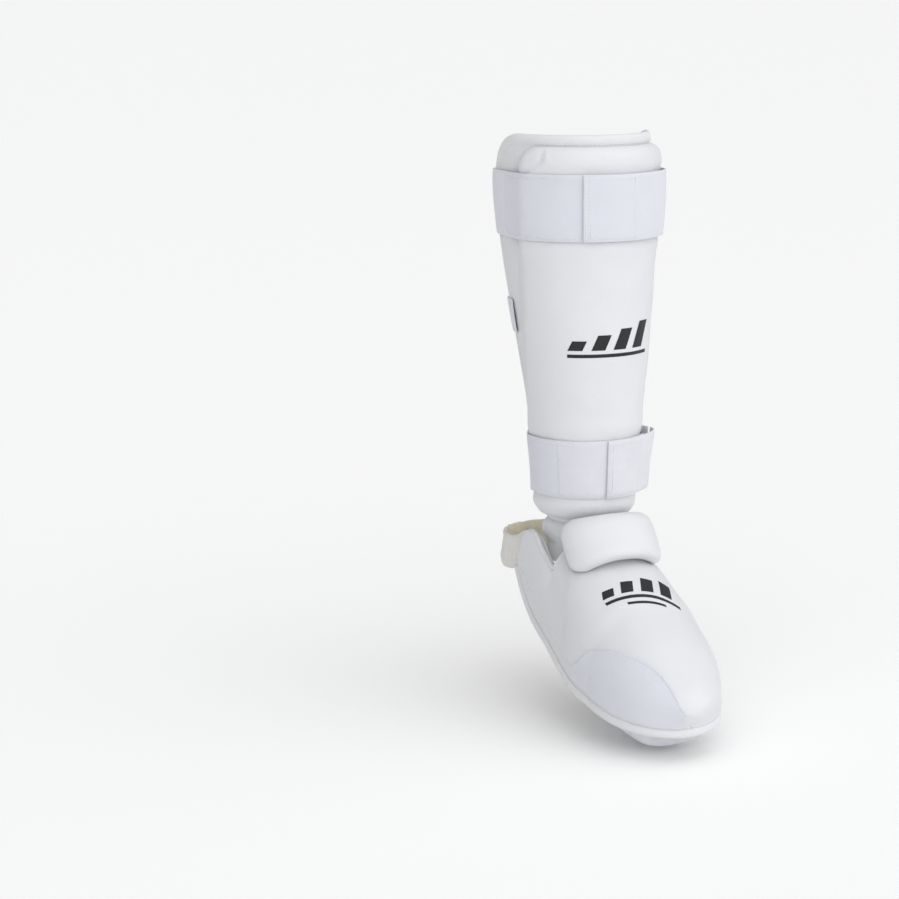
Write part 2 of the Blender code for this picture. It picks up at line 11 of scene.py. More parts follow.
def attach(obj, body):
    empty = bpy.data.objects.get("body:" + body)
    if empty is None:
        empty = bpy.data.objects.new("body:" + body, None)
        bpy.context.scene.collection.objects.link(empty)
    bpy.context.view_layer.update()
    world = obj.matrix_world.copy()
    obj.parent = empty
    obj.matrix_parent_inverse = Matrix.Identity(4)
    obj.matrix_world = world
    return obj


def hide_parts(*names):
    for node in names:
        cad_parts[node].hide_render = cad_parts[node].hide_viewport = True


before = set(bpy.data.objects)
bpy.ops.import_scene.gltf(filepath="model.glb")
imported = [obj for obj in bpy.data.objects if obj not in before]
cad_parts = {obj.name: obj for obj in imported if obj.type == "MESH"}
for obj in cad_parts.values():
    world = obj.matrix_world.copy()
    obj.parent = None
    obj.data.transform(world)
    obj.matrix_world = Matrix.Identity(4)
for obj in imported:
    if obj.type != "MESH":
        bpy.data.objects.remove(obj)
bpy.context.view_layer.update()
MM = 0.001
GAP = 0.4 * MM  # between pieces that touch on the real object
SAME_POINT, SEAM_WELD = 1e-6, 2e-5

# -------- the forms, as in the CAD source

SHIN_LOW, SHIN_HIGH = 0.044, 0.3335
LEG_HALF_WIDTH = [(0.03, 0.0345), (0.08, 0.0370), (0.11, 0.0415), (0.18, 0.0490), (0.285, 0.0575),
                  (0.36, 0.0580)]
LEG_FRONT = [(0.03, 0.0500), (0.08, 0.0520), (0.18, 0.0560), (0.26, 0.0545), (0.36, 0.0515)]
LEG_BACK = [(0.03, 0.0350), (0.08, 0.0365), (0.18, 0.0510), (0.26, 0.0640), (0.36, 0.0650)]
LEG_TAPER = [(0.03, 0.55), (0.08, 0.55), (0.18, 0.30), (0.285, 0.10), (0.36, 0.10)]
OUTLINE_STEPS = 96
WRAP_MIDDLE, BACKING_OUT = 2.1 * MM, 4.2 * MM
PAD_EDGE, PAD_FULL = 5.8 * MM, 12.5 * MM
WING_HALF, WING_FULL_FROM, WING_CORNER = (0.066, 0.098), 0.26, 0.030
PAD_HALF, PAD_FULL_FROM, PAD_CORNER, PAD_ROUND = (0.058, 0.0645), 0.20, 0.015, 0.009
PAD_LOW, PAD_HIGH = SHIN_LOW - 1.0 * MM, SHIN_HIGH - 3.5 * MM
BINDING_RADIUS = 2.4 * MM
UPPER = {"low": 0.2600, "high": 0.3100, "end": -19, "root": 72, "stand_off": 0.3 * MM}
LOWER = {"low": 0.0615, "high": 0.1070, "end": -2, "root": 66, "stand_off": 9.0 * MM}
MIDDLE = {"low": 0.1840, "high": 0.2100, "stand_off": 0.0}
STAND_OFF_AT, STAND_OFF_SPREAD = 62, 18
STRAP_CLEAR = 0.2 * MM
PANEL_ENDS, MIDDLE_ENDS, WORN_FROM = (-86, 40), (92, 268), -40
HOOK_STARTS, HOOK_ENDS, HOOK_INSET = 1.5, 34, 2.5 * MM
TONGUE_INSIDE, TONGUE_FLARE, TONGUE_SWELL = 3.6 * MM, 4.0 * MM, 6.0 * MM
TONGUE_HIGH, TONGUE_NECK, TONGUE_LOW, TONGUE_HALF = 0.1150, 0.0360, 0.0060, 0.0500
SWELL_TOP, SWELL_TOP_RUN, SWELL_FOOT, SWELL_FOOT_RUN = 0.0415, 0.0070, 0.0180, 0.0100
FOOT_RIM = [(-0.196, -0.0820), (-0.178, -0.0800), (-0.149, -0.0750), (-0.116, -0.0675), (-0.090, -0.0580),
            (-0.064, -0.0470), (-0.032, -0.0360), (-0.008, -0.0215), (0.010, -0.0040)]
FOOT_HALF = [(-0.149, 0.0430), (-0.116, 0.0480), (-0.090, 0.0475), (-0.054, 0.0445), (-0.024, 0.0415),
             (0.010, 0.0370)]
FOOT_HIGH = [(-0.1955, 0.0050), (-0.1935, 0.0110), (-0.188, 0.0185), (-0.175, 0.0295), (-0.160, 0.0405),
             (-0.140, 0.0510), (-0.122, 0.0590), (-0.090, 0.0640), (-0.054, 0.0650), (-0.030, 0.0800),
             (0.010, 0.0950)]
WING_TOP = [(-0.054, 0.0470), (-0.036, 0.0520), (-0.018, 0.0550), (-0.010, 0.0470), (0.000, 0.0250),
            (0.010, 0.0040)]
FOOT_BACK, TUNNEL_BACK, TOE_ROUND_STARTS, TOE_ROUND = 0.009, -0.0540, -0.135, 0.0605
SECTION_POWER = 2.05
WALL_RIM, WALL_TOP, WALL_RISE = 5.2 * MM, 12.0 * MM, 1.25
TOE_BAND, ARCH_BAND = {"ends": (-0.172, -0.134), "depth": 0.0250}, {"ends": (-0.126, -0.097), "depth": 0.0180}
SOLE_BAND_THICK, SOLE_BAND_SEWN, SOLE_BAND_INSIDE = 1.4 * MM, 0.008, 2.8 * MM
SOLE_BAND_WIDE, SOLE_BAND_DEEP = 0.7, 0.8  # powers that square off the sling's section
HEEL_PATH = [(0.00, 0.0290, -0.0120, 0.0125), (0.14, 0.0293, -0.0050, 0.0120), (0.24, 0.0300, 0.0020, 0.0105),
             (0.32, 0.0325, 0.0120, 0.0080), (0.42, 0.0365, 0.0205, 0.0030), (0.60, 0.0370, 0.0370, 0.0010),
             (0.80, 0.0240, 0.0580, 0.0010), (1.00, 0.0000, 0.0650, 0.0010)]
HEEL_BAND_HALF, HEEL_END_SHARE, HEEL_GATHER_RUN = 0.0140, 0.60, 0.30
ANKLE_RADIUS, ANKLE_HALF_ANGLE, ANKLE_TILT = 0.0440, math.radians(54), math.radians(24)
TOE_PANEL_STARTS, TOE_PANEL_ENDS, TOE_PANEL_RIM = -0.1140, -0.1947, 176
TOE_SEAM = [(-0.1950, 146), (-0.1930, 132), (-0.1900, 122), (-0.1840, 115), (-0.1766, 114), (-0.1680, 118),
            (-0.1580, 126), (-0.1460, 136), (-0.1380, 143), (-0.1300, 150), (-0.1220, 160), (-0.1100, 172)]
ANKLE_THICK, ANKLE_EDGE, ANKLE_EAR, ANKLE_EAR_POWER = 11.0 * MM, 2.2 * MM, 8.0 * MM, 2.2
ANKLE_NARROWS, ANKLE_CORNER_CUT, ANKLE_IN = 0.10, 0.20, 0.1 * MM
ANKLE_LINE = (Vector((0.0, -0.0960, 0.0205)), Vector((0.0, -0.0820, 0.0345)), Vector((0.0, -0.0695, 0.0500)))


def smooth(x):
    x = min(max(x, 0.0), 1.0)
    return x * x * (3 - 2 * x)


def between(pair, share):
    return pair[0] + (pair[1] - pair[0]) * share


def even(count, low, high):
    return [low + (high - low) * i / count for i in range(count + 1)]


def spread(count, low, high):
    return [low + (high - low) * (1 - math.cos(math.pi * i / count)) / 2 for i in range(count + 1)]


def through(stations, x):
    """The value at x on a smooth line through (place, value) stations."""
    x = min(max(x, stations[0][0]), stations[-1][0])
    i = max(k for k in range(len(stations) - 1) if stations[k][0] <= x)

    def slope(k):
        low, high = stations[max(k - 1, 0)], stations[min(k + 1, len(stations) - 1)]
        return (high[1] - low[1]) / (high[0] - low[0])

    (x0, v0), (x1, v1) = stations[i], stations[i + 1]
    step = x1 - x0
    t = (x - x0) / step
    return (
        v0 * (1 + 2 * t) * (1 - t) ** 2 + slope(i) * step * t * (1 - t) ** 2
        + v1 * t * t * (3 - 2 * t) + slope(i + 1) * step * t * t * (t - 1)
    )


def leg(z):
    """Centre y, half width, half depth and taper towards the back of the leg space at a height."""
    front, back = through(LEG_FRONT, z), through(LEG_BACK, z)
    return (back - front) / 2, through(LEG_HALF_WIDTH, z), (back + front) / 2, through(LEG_TAPER, z)


outlines = {}


def leg_outline(z):
    """Right half of the leg's outline, front to back: arc length so far, x and y of each point."""
    if z not in outlines:
        centre, half_width, half_depth, taper = leg(z)
        made = []
        for t in even(OUTLINE_STEPS, 0.0, math.pi):
            x = half_width * math.sin(t) * (1 - taper * (1 - math.cos(t)) / 2)
            y = centre - half_depth * math.cos(t)
            arc = made[-1][0] + math.hypot(x - made[-1][1], y - made[-1][2]) if made else 0.0
            made.append((arc, x, y))
        outlines[z] = made
    return outlines[z]


def leg_point(arc, z, offset):
    """A point on the wrap: arc metres round from the front line, at a height, offset out from the leg."""
    outline = leg_outline(z)
    reach = min(abs(arc), outline[-1][0] - SAME_POINT)
    i = min(int(reach / outline[-1][0] * OUTLINE_STEPS), OUTLINE_STEPS - 1)
    while outline[i][0] > reach:
        i -= 1
    while outline[i + 1][0] <= reach:
        i += 1
    share = (reach - outline[i][0]) / (outline[i + 1][0] - outline[i][0])

    def normal(k):
        low, high = outline[max(k - 1, 0)], outline[min(k + 1, OUTLINE_STEPS)]
        turned = Vector((high[2] - low[2], low[1] - high[1]))
        return Vector((0.0, -1.0)) if k == 0 else turned.normalized()

    out = normal(i).lerp(normal(i + 1), share).normalized()
    x = between((outline[i][1], outline[i + 1][1]), share) + offset * out.x
    y = between((outline[i][2], outline[i + 1][2]), share) + offset * out.y
    return Vector((math.copysign(x, arc) if arc else 0.0, y, z))


def outline_half(z, low, high, half, corner):
    """Half the arc width of a round-cornered panel at a height."""
    near = min(z - low, high - z)
    if near >= corner:
        return half
    return half - corner + math.sqrt(max(corner**2 - (corner - near) ** 2, 0.0))


def wing_half(z):
    half = between(WING_HALF, smooth((z - SHIN_LOW) / (WING_FULL_FROM - SHIN_LOW)))
    return outline_half(z, SHIN_LOW, SHIN_HIGH, half, WING_CORNER)


def pad_half(z):
    half = between(PAD_HALF, smooth((z - PAD_LOW) / (PAD_FULL_FROM - PAD_LOW)))
    return outline_half(z, PAD_LOW, PAD_HIGH, half, PAD_CORNER)


def rounding(distance, radius):
    return math.sqrt(1 - (1 - min(max(distance / radius, 0.0), 1.0)) ** 2)


def pad_thickness(arc, z):
    """Outer face of the plain pad: full in the middle, rounded down to its sewn edge."""
    side = rounding(pad_half(z) - abs(arc), PAD_ROUND)
    end = rounding(min(z - PAD_LOW, PAD_HIGH - z), PAD_ROUND)
    return PAD_EDGE + (PAD_FULL - PAD_EDGE) * side * end


hulls = {}


def strap_radius(z, angle, stand_off):
    """How far a tight strap lies from the leg's centre line."""
    centre = leg(z)[0]
    if z not in hulls:
        pad = [leg_point(s, z, pad_thickness(s, z) + GAP) for s in even(60, -pad_half(z), pad_half(z))]
        edge = wing_half(z) + 2 * BINDING_RADIUS
        taped = WRAP_MIDDLE + BINDING_RADIUS + STRAP_CLEAR
        wings = [leg_point(s, z, taped) for s in even(40, -edge, edge)]
        reach = leg_outline(z)[-1][0]
        calf = [leg_point(s, z, STRAP_CLEAR) for s in even(60, -reach, reach)]
        places = [(p.x, p.y - centre) for p in pad + wings + calf]
        hulls[z] = [places[i] for i in convex_hull_2d(places)]
    hull = hulls[z]
    direction = (math.sin(angle), -math.cos(angle))
    radius = 0.0
    for (x0, y0), (x1, y1) in zip(hull, hull[1:] + hull[:1]):
        ex, ey = x1 - x0, y1 - y0
        cross = direction[0] * ey - direction[1] * ex
        if abs(cross) < 1e-12:
            continue
        along = (x0 * ey - y0 * ex) / cross
        share = (x0 * direction[1] - y0 * direction[0]) / cross
        if along > 0 and -SAME_POINT <= share <= 1 + SAME_POINT:
            radius = max(radius, along)
    return radius + stand_off * math.exp(-(((math.degrees(angle) - STAND_OFF_AT) / STAND_OFF_SPREAD) ** 2))


def strap_point(strap, degrees, z, offset):
    """A point on a strap: degrees round from the front by the right side, offset out from its inner face."""
    angle = math.radians(degrees)
    radius = strap_radius(z, angle, strap["stand_off"]) + offset
    return Vector((radius * math.sin(angle), leg(z)[0] - radius * math.cos(angle), z))


def power(value, exponent):
    return math.copysign(abs(value) ** exponent, value)


def foot_section(y, offset):
    """Half width and height of the foot space at a station, and the station itself, each grown by offset."""
    high = through(FOOT_HIGH, y) + offset
    if y >= TOE_ROUND_STARTS:
        return through(FOOT_HALF, y) + offset, high, y
    turn = math.asin(min((TOE_ROUND_STARTS - y) / TOE_ROUND, 1.0))
    half = (through(FOOT_HALF, TOE_ROUND_STARTS) + offset) * math.cos(turn)
    station = TOE_ROUND_STARTS - (TOE_ROUND + offset) * math.sin(turn)
    return (half if half > SAME_POINT else 0.0), high, station


def foot_wall(turn):
    """Wall of the instep guard: thin at the rim, full over the top of the foot."""
    return WALL_RIM + (WALL_TOP - WALL_RIM) * smooth(math.sin(turn) * WALL_RISE)


def foot_point(y, turn, offset):
    """A point of the arch over the foot. turn runs from 0 at the right rim to pi at the left rim."""
    half, high, station = foot_section(y, offset)
    exponent = 2 / SECTION_POWER
    x = half * power(math.cos(turn), exponent)
    return Vector((x, station, through(FOOT_RIM, y) + high * power(math.sin(turn), exponent)))


def wing_turn(y, offset):
    """The turn at which a side wing's free edge lies."""
    return math.asin(min(through(WING_TOP, y) / foot_section(y, offset)[1], 1.0) ** (SECTION_POWER / 2))


def ankle_point(arc, rise, offset):
    """A point of the ankle pad: arc and rise run from -1 to 1, offset goes out from its inner face."""
    share = (rise + 1) / 2
    low, middle, high = ANKLE_LINE
    front = low * (1 - share) ** 2 + middle * 2 * share * (1 - share) + high * share**2
    angle = arc * ANKLE_HALF_ANGLE * (1 - ANKLE_NARROWS * rise**4)
    radius = ANKLE_RADIUS + offset
    back = Vector((0.0, math.cos(ANKLE_TILT), -math.sin(ANKLE_TILT)))
    drop = ANKLE_EAR * min(abs(arc), 1.0) ** ANKLE_EAR_POWER * (1 - share)
    sideways = Vector((radius * math.sin(angle), 0.0, -drop))
    return front + back * (ANKLE_RADIUS - radius * math.cos(angle)) + sideways


def ankle_thickness(arc, rise):
    """The plain pad's outer face, rounded down towards its edge."""
    full = (ANKLE_THICK - ANKLE_EDGE) * max(1 - abs(arc) ** 5, 0.0) ** 0.5
    return ANKLE_EDGE + full * max(1 - abs(rise) ** 4, 0.0) ** 0.5


def heel_point(share, offset):
    """A point on the heel band. share runs from -1 at the left end round the heel to 1 at the right end."""

    def at(u):
        return [through([(q[0], q[k]) for q in HEEL_PATH], min(max(u, 0.0), 1.0)) for k in (1, 2, 3)]

    u = 1 - abs(share)
    side = 1 if share >= 0 else -1
    x, y, z = at(u)
    x1, y1, _ = at(u + 0.01)
    x0, y0, _ = at(u - 0.01)
    out = Vector((y1 - y0, x0 - x1)).normalized() if u < 0.995 else Vector((0.0, 1.0))
    return Vector((side * (x + offset * out.x), y + offset * out.y, z))


# -------- materials

WAVE_PHASE = 20  # radians that a wave texture turns through in one unit, at a scale of 1
THREAD_WANDER, THREAD_DETAIL = 0.6, 3.0
CLOUD_SCALE, CLOUD_DETAIL, PILE_DETAIL = 45.0, 5.0, 4.0


def put(node, socket, value):
    node.inputs[socket].default_value = value


def finish_of(name, colour, roughness, bumps=(), sheen=0.0, specular=0.4, mottle=0.0, coords="Object"):
    """A Principled finish. Each bump is (kind of texture, how fine it is, depth in metres)."""
    made = bpy.data.materials.new(name)
    made.use_nodes = True
    nodes, links = made.node_tree.nodes, made.node_tree.links
    shader = nodes["Principled BSDF"]
    put(shader, "Base Color", (*colour, 1.0))
    put(shader, "Roughness", roughness)
    put(shader, "Specular IOR Level", specular)
    put(shader, "Sheen Weight", sheen)
    put(shader, "Sheen Roughness", 0.5)
    where = nodes.new("ShaderNodeTexCoord").outputs[coords]
    last = None
    for kind, scale, depth in bumps:
        if kind == "grain":
            texture = nodes.new("ShaderNodeTexVoronoi")
            texture.feature = "SMOOTH_F1"
            put(texture, "Scale", scale)
            height = texture.outputs["Distance"]
        elif kind in ("ribs", "cords"):
            texture = nodes.new("ShaderNodeTexWave")
            texture.bands_direction = "X" if kind == "ribs" else "Y"
            put(texture, "Scale", scale / WAVE_PHASE)
            put(texture, "Distortion", THREAD_WANDER)
            put(texture, "Detail Scale", THREAD_DETAIL)
            height = texture.outputs["Fac"]
        else:
            texture = nodes.new("ShaderNodeTexNoise")
            put(texture, "Scale", scale)
            put(texture, "Detail", PILE_DETAIL)
            height = texture.outputs["Fac"]
        links.new(where, texture.inputs["Vector"])
        bump = nodes.new("ShaderNodeBump")
        put(bump, "Strength", 1.0)
        put(bump, "Distance", depth)
        links.new(height, bump.inputs["Height"])
        if last is not None:
            links.new(last.outputs["Normal"], bump.inputs["Normal"])
        last = bump
    if last is not None:
        links.new(last.outputs["Normal"], shader.inputs["Normal"])
    if mottle:
        cloud = nodes.new("ShaderNodeTexNoise")
        put(cloud, "Scale", CLOUD_SCALE)
        put(cloud, "Detail", CLOUD_DETAIL)
        links.new(where, cloud.inputs["Vector"])
        mix = nodes.new("ShaderNodeMix")
        mix.data_type = "RGBA"
        put(mix, "A", (*[c * (1 - mottle) for c in colour], 1.0))
        put(mix, "B", (*[min(c * (1 + mottle), 1.0) for c in colour], 1.0))
        links.new(cloud.outputs["Fac"], mix.inputs["Factor"])
        links.new(mix.outputs["Result"], shader.inputs["Base Color"])
    return made


LEATHER = finish_of("white leatherette", (0.655, 0.661, 0.680), 0.48,
                    [("noise", 60, 0.5 * MM), ("grain", 1100, 0.10 * MM), ("noise", 900, 0.05 * MM)],
                    mottle=0.02)
LOOP = finish_of("loop pile", (0.650, 0.657, 0.715), 0.95,
                 [("noise", 2600, 0.35 * MM), ("noise", 420, 0.20 * MM)],
                 sheen=0.5, specular=0.2, mottle=0.04)
WORN = finish_of("worn loop pile", (0.665, 0.670, 0.712), 0.95,
                 [("noise", 1500, 0.55 * MM), ("cords", 700, 0.15 * MM)],
                 sheen=0.5, specular=0.2, mottle=0.06, coords="UV")
WEBBING = finish_of("ribbed webbing", (0.650, 0.657, 0.705), 0.85,
                    [("ribs", 900, 0.14 * MM), ("cords", 520, 0.08 * MM), ("noise", 2200, 0.08 * MM)],
                    sheen=0.3, specular=0.2, mottle=0.03, coords="UV")
TAPE = finish_of("binding tape", (0.665, 0.667, 0.685), 0.8,
                 [("noise", 2400, 0.12 * MM), ("noise", 300, 0.12 * MM)],
                 sheen=0.3, specular=0.2, mottle=0.03)
KNIT = finish_of("brushed lining", (0.72, 0.72, 0.71), 0.95,
                 [("noise", 1800, 0.25 * MM), ("noise", 200, 0.3 * MM)], sheen=0.5, specular=0.1, mottle=0.05)
HEEL = finish_of("heel elastic", (0.66, 0.65, 0.62), 0.95,
                 [("ribs", 620, 0.5 * MM), ("cords", 620, 0.3 * MM), ("noise", 1500, 0.3 * MM)],
                 sheen=0.4, specular=0.1, mottle=0.12, coords="UV")
# Tan colour for the heel band's inner face: frayed fabric, and also painted shade and a painted reflection of
# skin inside the loop.
FRAY_AND_SHADE = finish_of("worn edge and painted shade", (0.60, 0.54, 0.42), 0.95, [("noise", 1400, 0.6 * MM)],
                 sheen=0.3, specular=0.1, mottle=0.2)
THREAD = finish_of("thread", (0.74, 0.74, 0.76), 0.6, [("noise", 3000, 0.05 * MM)], specular=0.3)
HOOK = finish_of("hook tape", (0.76, 0.76, 0.78), 0.6, [("grain", 900, 0.5 * MM)], specular=0.3)
PRINT = finish_of("black print", (0.012, 0.012, 0.014), 0.45, [("grain", 1100, 0.05 * MM)], specular=0.35)

# -------- building

SHARP_EDGE = math.radians(50)
SOFT_EDGE = 0.3 * MM
STITCH_LENGTH, STITCH_STEP, CLOSE_STEP, STITCH_THICK = 2.4 * MM, 3.3 * MM, 2.9 * MM, 0.32 * MM
STITCH_PROFILE = [(-0.5, 0.15), (-0.36, 0.75), (0.0, 1.0), (0.36, 0.75), (0.5, 0.15)]  # along, thickness
STITCH_SINK, STITCH_SIDES = 0.9, 6


def uv_of(mesh, coords):
    layer = mesh.uv_layers.new(name="metres")
    for loop in mesh.loops:
        layer.data[loop.index].uv = coords[loop.vertex_index]


def mesh_of(name, verts, faces, coords=None):
    mesh = bpy.data.meshes.new(name)
    mesh.from_pydata(verts, [], faces)
    if coords:
        uv_of(mesh, coords)
    return mesh


def grid_uv(rows):
    """Distances in metres along and across a grid of points."""
    made = []
    across = 0.0
    for i, row in enumerate(rows):
        if i:
            across += (row[len(row) // 2] - rows[i - 1][len(row) // 2]).length
        along = 0.0
        for j, p in enumerate(row):
            if j:
                along += (p - row[j - 1]).length
            made.append((along, across))
    return made


def place(name, mesh, finish, body, replaced=()):
    """Makes a piece of a mesh, sets the body that it rides on, and the nodes that it replaces."""
    mesh.materials.append(finish)
    mesh.shade_smooth()
    made = bpy.data.objects.new(name, mesh)
    bpy.context.scene.collection.objects.link(made)
    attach(made, body)
    if replaced:
        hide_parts(*replaced)
    return made


def grid_faces(rows, columns, first=0, flipped=False):
    faces = []
    for i in range(rows - 1):
        for j in range(columns - 1):
            a = first + i * columns + j
            face = (a, a + 1, a + columns + 1, a + columns)
            faces.append(face[::-1] if flipped else face)
    return faces


def thickened(made, thickness, way):
    solidify = made.modifiers.new("thickness", "SOLIDIFY")
    solidify.thickness = thickness
    solidify.offset = way


def facing_out(mesh):
    work = bmesh.new()
    work.from_mesh(mesh)
    bmesh.ops.recalc_face_normals(work, faces=work.faces)
    work.to_mesh(mesh)
    work.free()


def strip(name, rows, thickness, finish, body, replaced=(), edge=SOFT_EDGE):
    """A sheet through rows of points, thickened outwards, with its cut edges rounded by edge."""
    points = [p for row in rows for p in row]
    mesh = mesh_of(name, points, grid_faces(len(rows), len(rows[0])), grid_uv(rows))
    made = place(name, mesh, finish, body, replaced)
    thickened(made, thickness, 1.0)
    if edge:
        bevel = made.modifiers.new("soft edge", "BEVEL")
        bevel.width = edge
        bevel.segments = 2
        bevel.limit_method = "ANGLE"
        bevel.angle_limit = SHARP_EDGE


def pillow(name, inner, outer, finish, body, replaced=()):
    """A closed pad between two grids of points."""
    rows, columns = len(inner), len(inner[0])
    count = rows * columns
    faces = grid_faces(rows, columns, 0, flipped=True) + grid_faces(rows, columns, count)
    edge = list(range(columns)) + [i * columns + columns - 1 for i in range(1, rows)]
    edge += [(rows - 1) * columns + j for j in range(columns - 2, -1, -1)]
    edge += [i * columns for i in range(rows - 2, 0, -1)]
    for a, b in zip(edge, edge[1:] + edge[:1]):
        faces.append((a, b, b + count, a + count))
    points = [p for row in inner + outer for p in row]
    mesh = mesh_of(name, points, faces, grid_uv(inner) + grid_uv(outer))
    return place(name, mesh, finish, body, replaced)


def sweep(name, centres, sides, tops, halves, finish, body, replaced=(), closed=False, ring=10):
    """A rounded bar along a line. sides and tops are its directions at each point, halves its half sizes."""
    half_wide, half_high = halves
    verts, coords, along = [], [], 0.0
    for i, (c, a, b) in enumerate(zip(centres, sides, tops)):
        if i:
            along += (c - centres[i - 1]).length
        for k in range(ring):
            t = 2 * math.pi * k / ring
            verts.append(c + a * (half_wide * math.cos(t)) + b * (half_high * math.sin(t)))
            coords.append((along, k * half_wide * 2 / ring))
    faces = []
    count = len(centres)
    for i in range(count if closed else count - 1):
        for k in range(ring):
            n, m = (i + 1) % count, (k + 1) % ring
            faces.append((i * ring + k, i * ring + m, n * ring + m, n * ring + k))
    if not closed:
        faces.append(tuple(range(ring - 1, -1, -1)))
        faces.append(tuple((count - 1) * ring + k for k in range(ring)))
    mesh = mesh_of(name, verts, faces)
    facing_out(mesh)
    uv_of(mesh, coords)
    return place(name, mesh, finish, body, replaced)


def walked(points, step, closed=False):
    """Points a step apart along a line, with the direction at each."""
    if closed:
        points = points + points[:1]
    made, left = [], 0.0
    for a, b in zip(points, points[1:]):
        length = (b - a).length
        while left <= length and length > 0:
            made.append((a.lerp(b, left / length), (b - a) / length))
            left += step
        left -= length
    return made


def stitches(name, line, out, body, step=STITCH_STEP, closed=False):
    """A row of stitches on a line. out(point) gives the way out of the surface there."""
    verts, faces = [], []
    ring, last = STITCH_SIDES, len(STITCH_PROFILE) - 1
    for point, along in walked(line, step, closed):
        up = out(point).normalized()
        side = along.cross(up).normalized()
        up = side.cross(along).normalized()
        first = len(verts)
        for at, wide in STITCH_PROFILE:
            radius = STITCH_THICK * wide
            sink = -STITCH_THICK * STITCH_SINK * (2 * at) ** 4
            for k in range(ring):
                t = 2 * math.pi * k / ring
                across = side * (radius * math.cos(t)) + up * (radius * math.sin(t) + sink)
                verts.append(point + along * (at * STITCH_LENGTH) + across)
        for i in range(last):
            for k in range(ring):
                a, b = first + i * ring + k, first + i * ring + (k + 1) % ring
                faces.append((a, b, b + ring, a + ring))
        faces.append(tuple(first + k for k in range(ring)))
        faces.append(tuple(first + last * ring + ring - 1 - k for k in range(ring)))
    place(name, mesh_of(name, verts, faces), THREAD, body)


def ripple(p, scale, depth, seed=0.0):
    """Soft unevenness of cloth at a place."""
    return depth * noise.noise(Vector((p[0] * scale + seed, p[1] * scale, p[2] * scale)))


def from_axis(p):
    """Straight out from the leg's centre line."""
    return Vector((p.x, p.y - leg(p.z)[0], 0.0))


# -------- shin guard

COVER_IN = 0.5 * MM  # the swelling and gathers stand on a cover this much inside the plain pad
PRESS_SWELL, PRESS_AWAY, PRESS_SPREAD = 0.9 * MM, 0.007, 0.006
GATHER_DEEP, GATHER_AWAY, GATHER_SPREAD, GATHERS_PER_METRE = 0.55 * MM, 0.005, 0.0045, 160
BROAD_WAVE, FINE_WAVE = (22, 0.9 * MM), (60, 0.35 * MM)  # scale and depth
LINING_SKIN, BACKING_SKIN = (0.2 * MM, 1.1 * MM), (1.7 * MM, 2.3 * MM)  # inner face and thickness
BINDING_OUT, BINDING_ACROSS, BINDING_HALVES = 0.6 * MM, 2.0 * MM, (4.6 * MM, 2.7 * MM)
BINDING_SEAM_IN, BINDING_SEAM_UP = 2.6 * MM, 2.35 * MM
PAD_SEAM_OUT, PAD_SEAM_UP, PAD_SEAM_LOW, PAD_SEAM_HIGH = 1.8 * MM, 0.1 * MM, 0.012, 0.006


def strap_press(z):
    """The pad bulges a little beside each strap."""
    swell = 0.0
    for strap in (UPPER, LOWER):
        for edge, way in ((strap["low"], -1), (strap["high"], 1)):
            swell += PRESS_SWELL * math.exp(-(((z - edge) * way - PRESS_AWAY) / PRESS_SPREAD) ** 2)
    return swell


def pucker(arc, z):
    """Fine gathers where the cover is sewn down."""
    side, end = pad_half(z) - abs(arc), min(z - PAD_LOW, PAD_HIGH - z)
    near = min(side, end)
    run = z if side < end else arc
    fade = math.exp(-((near - GATHER_AWAY) / GATHER_SPREAD) ** 2)
    beat = noise.noise(Vector((run * GATHERS_PER_METRE, 3.1 if arc > 0 else 7.7, 0.0)))
    return GATHER_DEEP * beat * fade


PAD_CREASES = [
    ((-0.0440, 0.3300), (-0.0455, 0.3200), 1.3, 1.0), ((-0.0455, 0.3200), (-0.0580, 0.3080), 1.5, 1.1),
    ((-0.0400, 0.3290), (-0.0385, 0.3230), 1.0, 0.6), ((0.0100, 0.2575), (0.0350, 0.2560), 3.0, 0.5),
    ((-0.0300, 0.1120), (0.0200, 0.1105), 3.5, 0.5), ((-0.0620, 0.2450), (-0.0600, 0.1500), 4.0, 0.5),
]


def creased(x, y, creases):
    """How deep soft creases press in at a place. Each is two ends, a width and a depth in millimetres."""
    depth = 0.0
    for (x0, y0), (x1, y1), width, deep in creases:
        ex, ey = x1 - x0, y1 - y0
        share = min(max(((x - x0) * ex + (y - y0) * ey) / (ex * ex + ey * ey), 0.0), 1.0)
        away = math.hypot(x - x0 - share * ex, y - y0 - share * ey)
        depth += deep * MM * math.exp(-((away / (width * MM)) ** 2))
    return depth


def pad_skin(arc, z):
    """Outer face of the pad's cover, with its swelling, creases and gathers."""
    base = pad_thickness(arc, z)
    body = smooth((base - PAD_EDGE) / (PAD_FULL - PAD_EDGE))
    soft = ripple((arc, z, 0.0), *BROAD_WAVE) + ripple((arc, z, 2.0), *FINE_WAVE)
    swell = (strap_press(z) + soft - creased(arc, z, PAD_CREASES)) * body
    return base - COVER_IN + swell + pucker(arc, z)


def wrap_grid(low, high, half, rows, columns):
    """Rows of (arc, height) places over a panel of the wrap, closer together near its edges."""
    turns = [math.sin(math.pi / 2 * u) for u in even(columns, -1, 1)]
    return [[(half(z) * turn, z) for turn in turns] for z in spread(rows, low, high)]


def raised(grid, offset):
    """Points over those places. offset is a number or a function of arc and height."""
    return [[leg_point(s, z, offset(s, z) if callable(offset) else offset) for s, z in row] for row in grid]


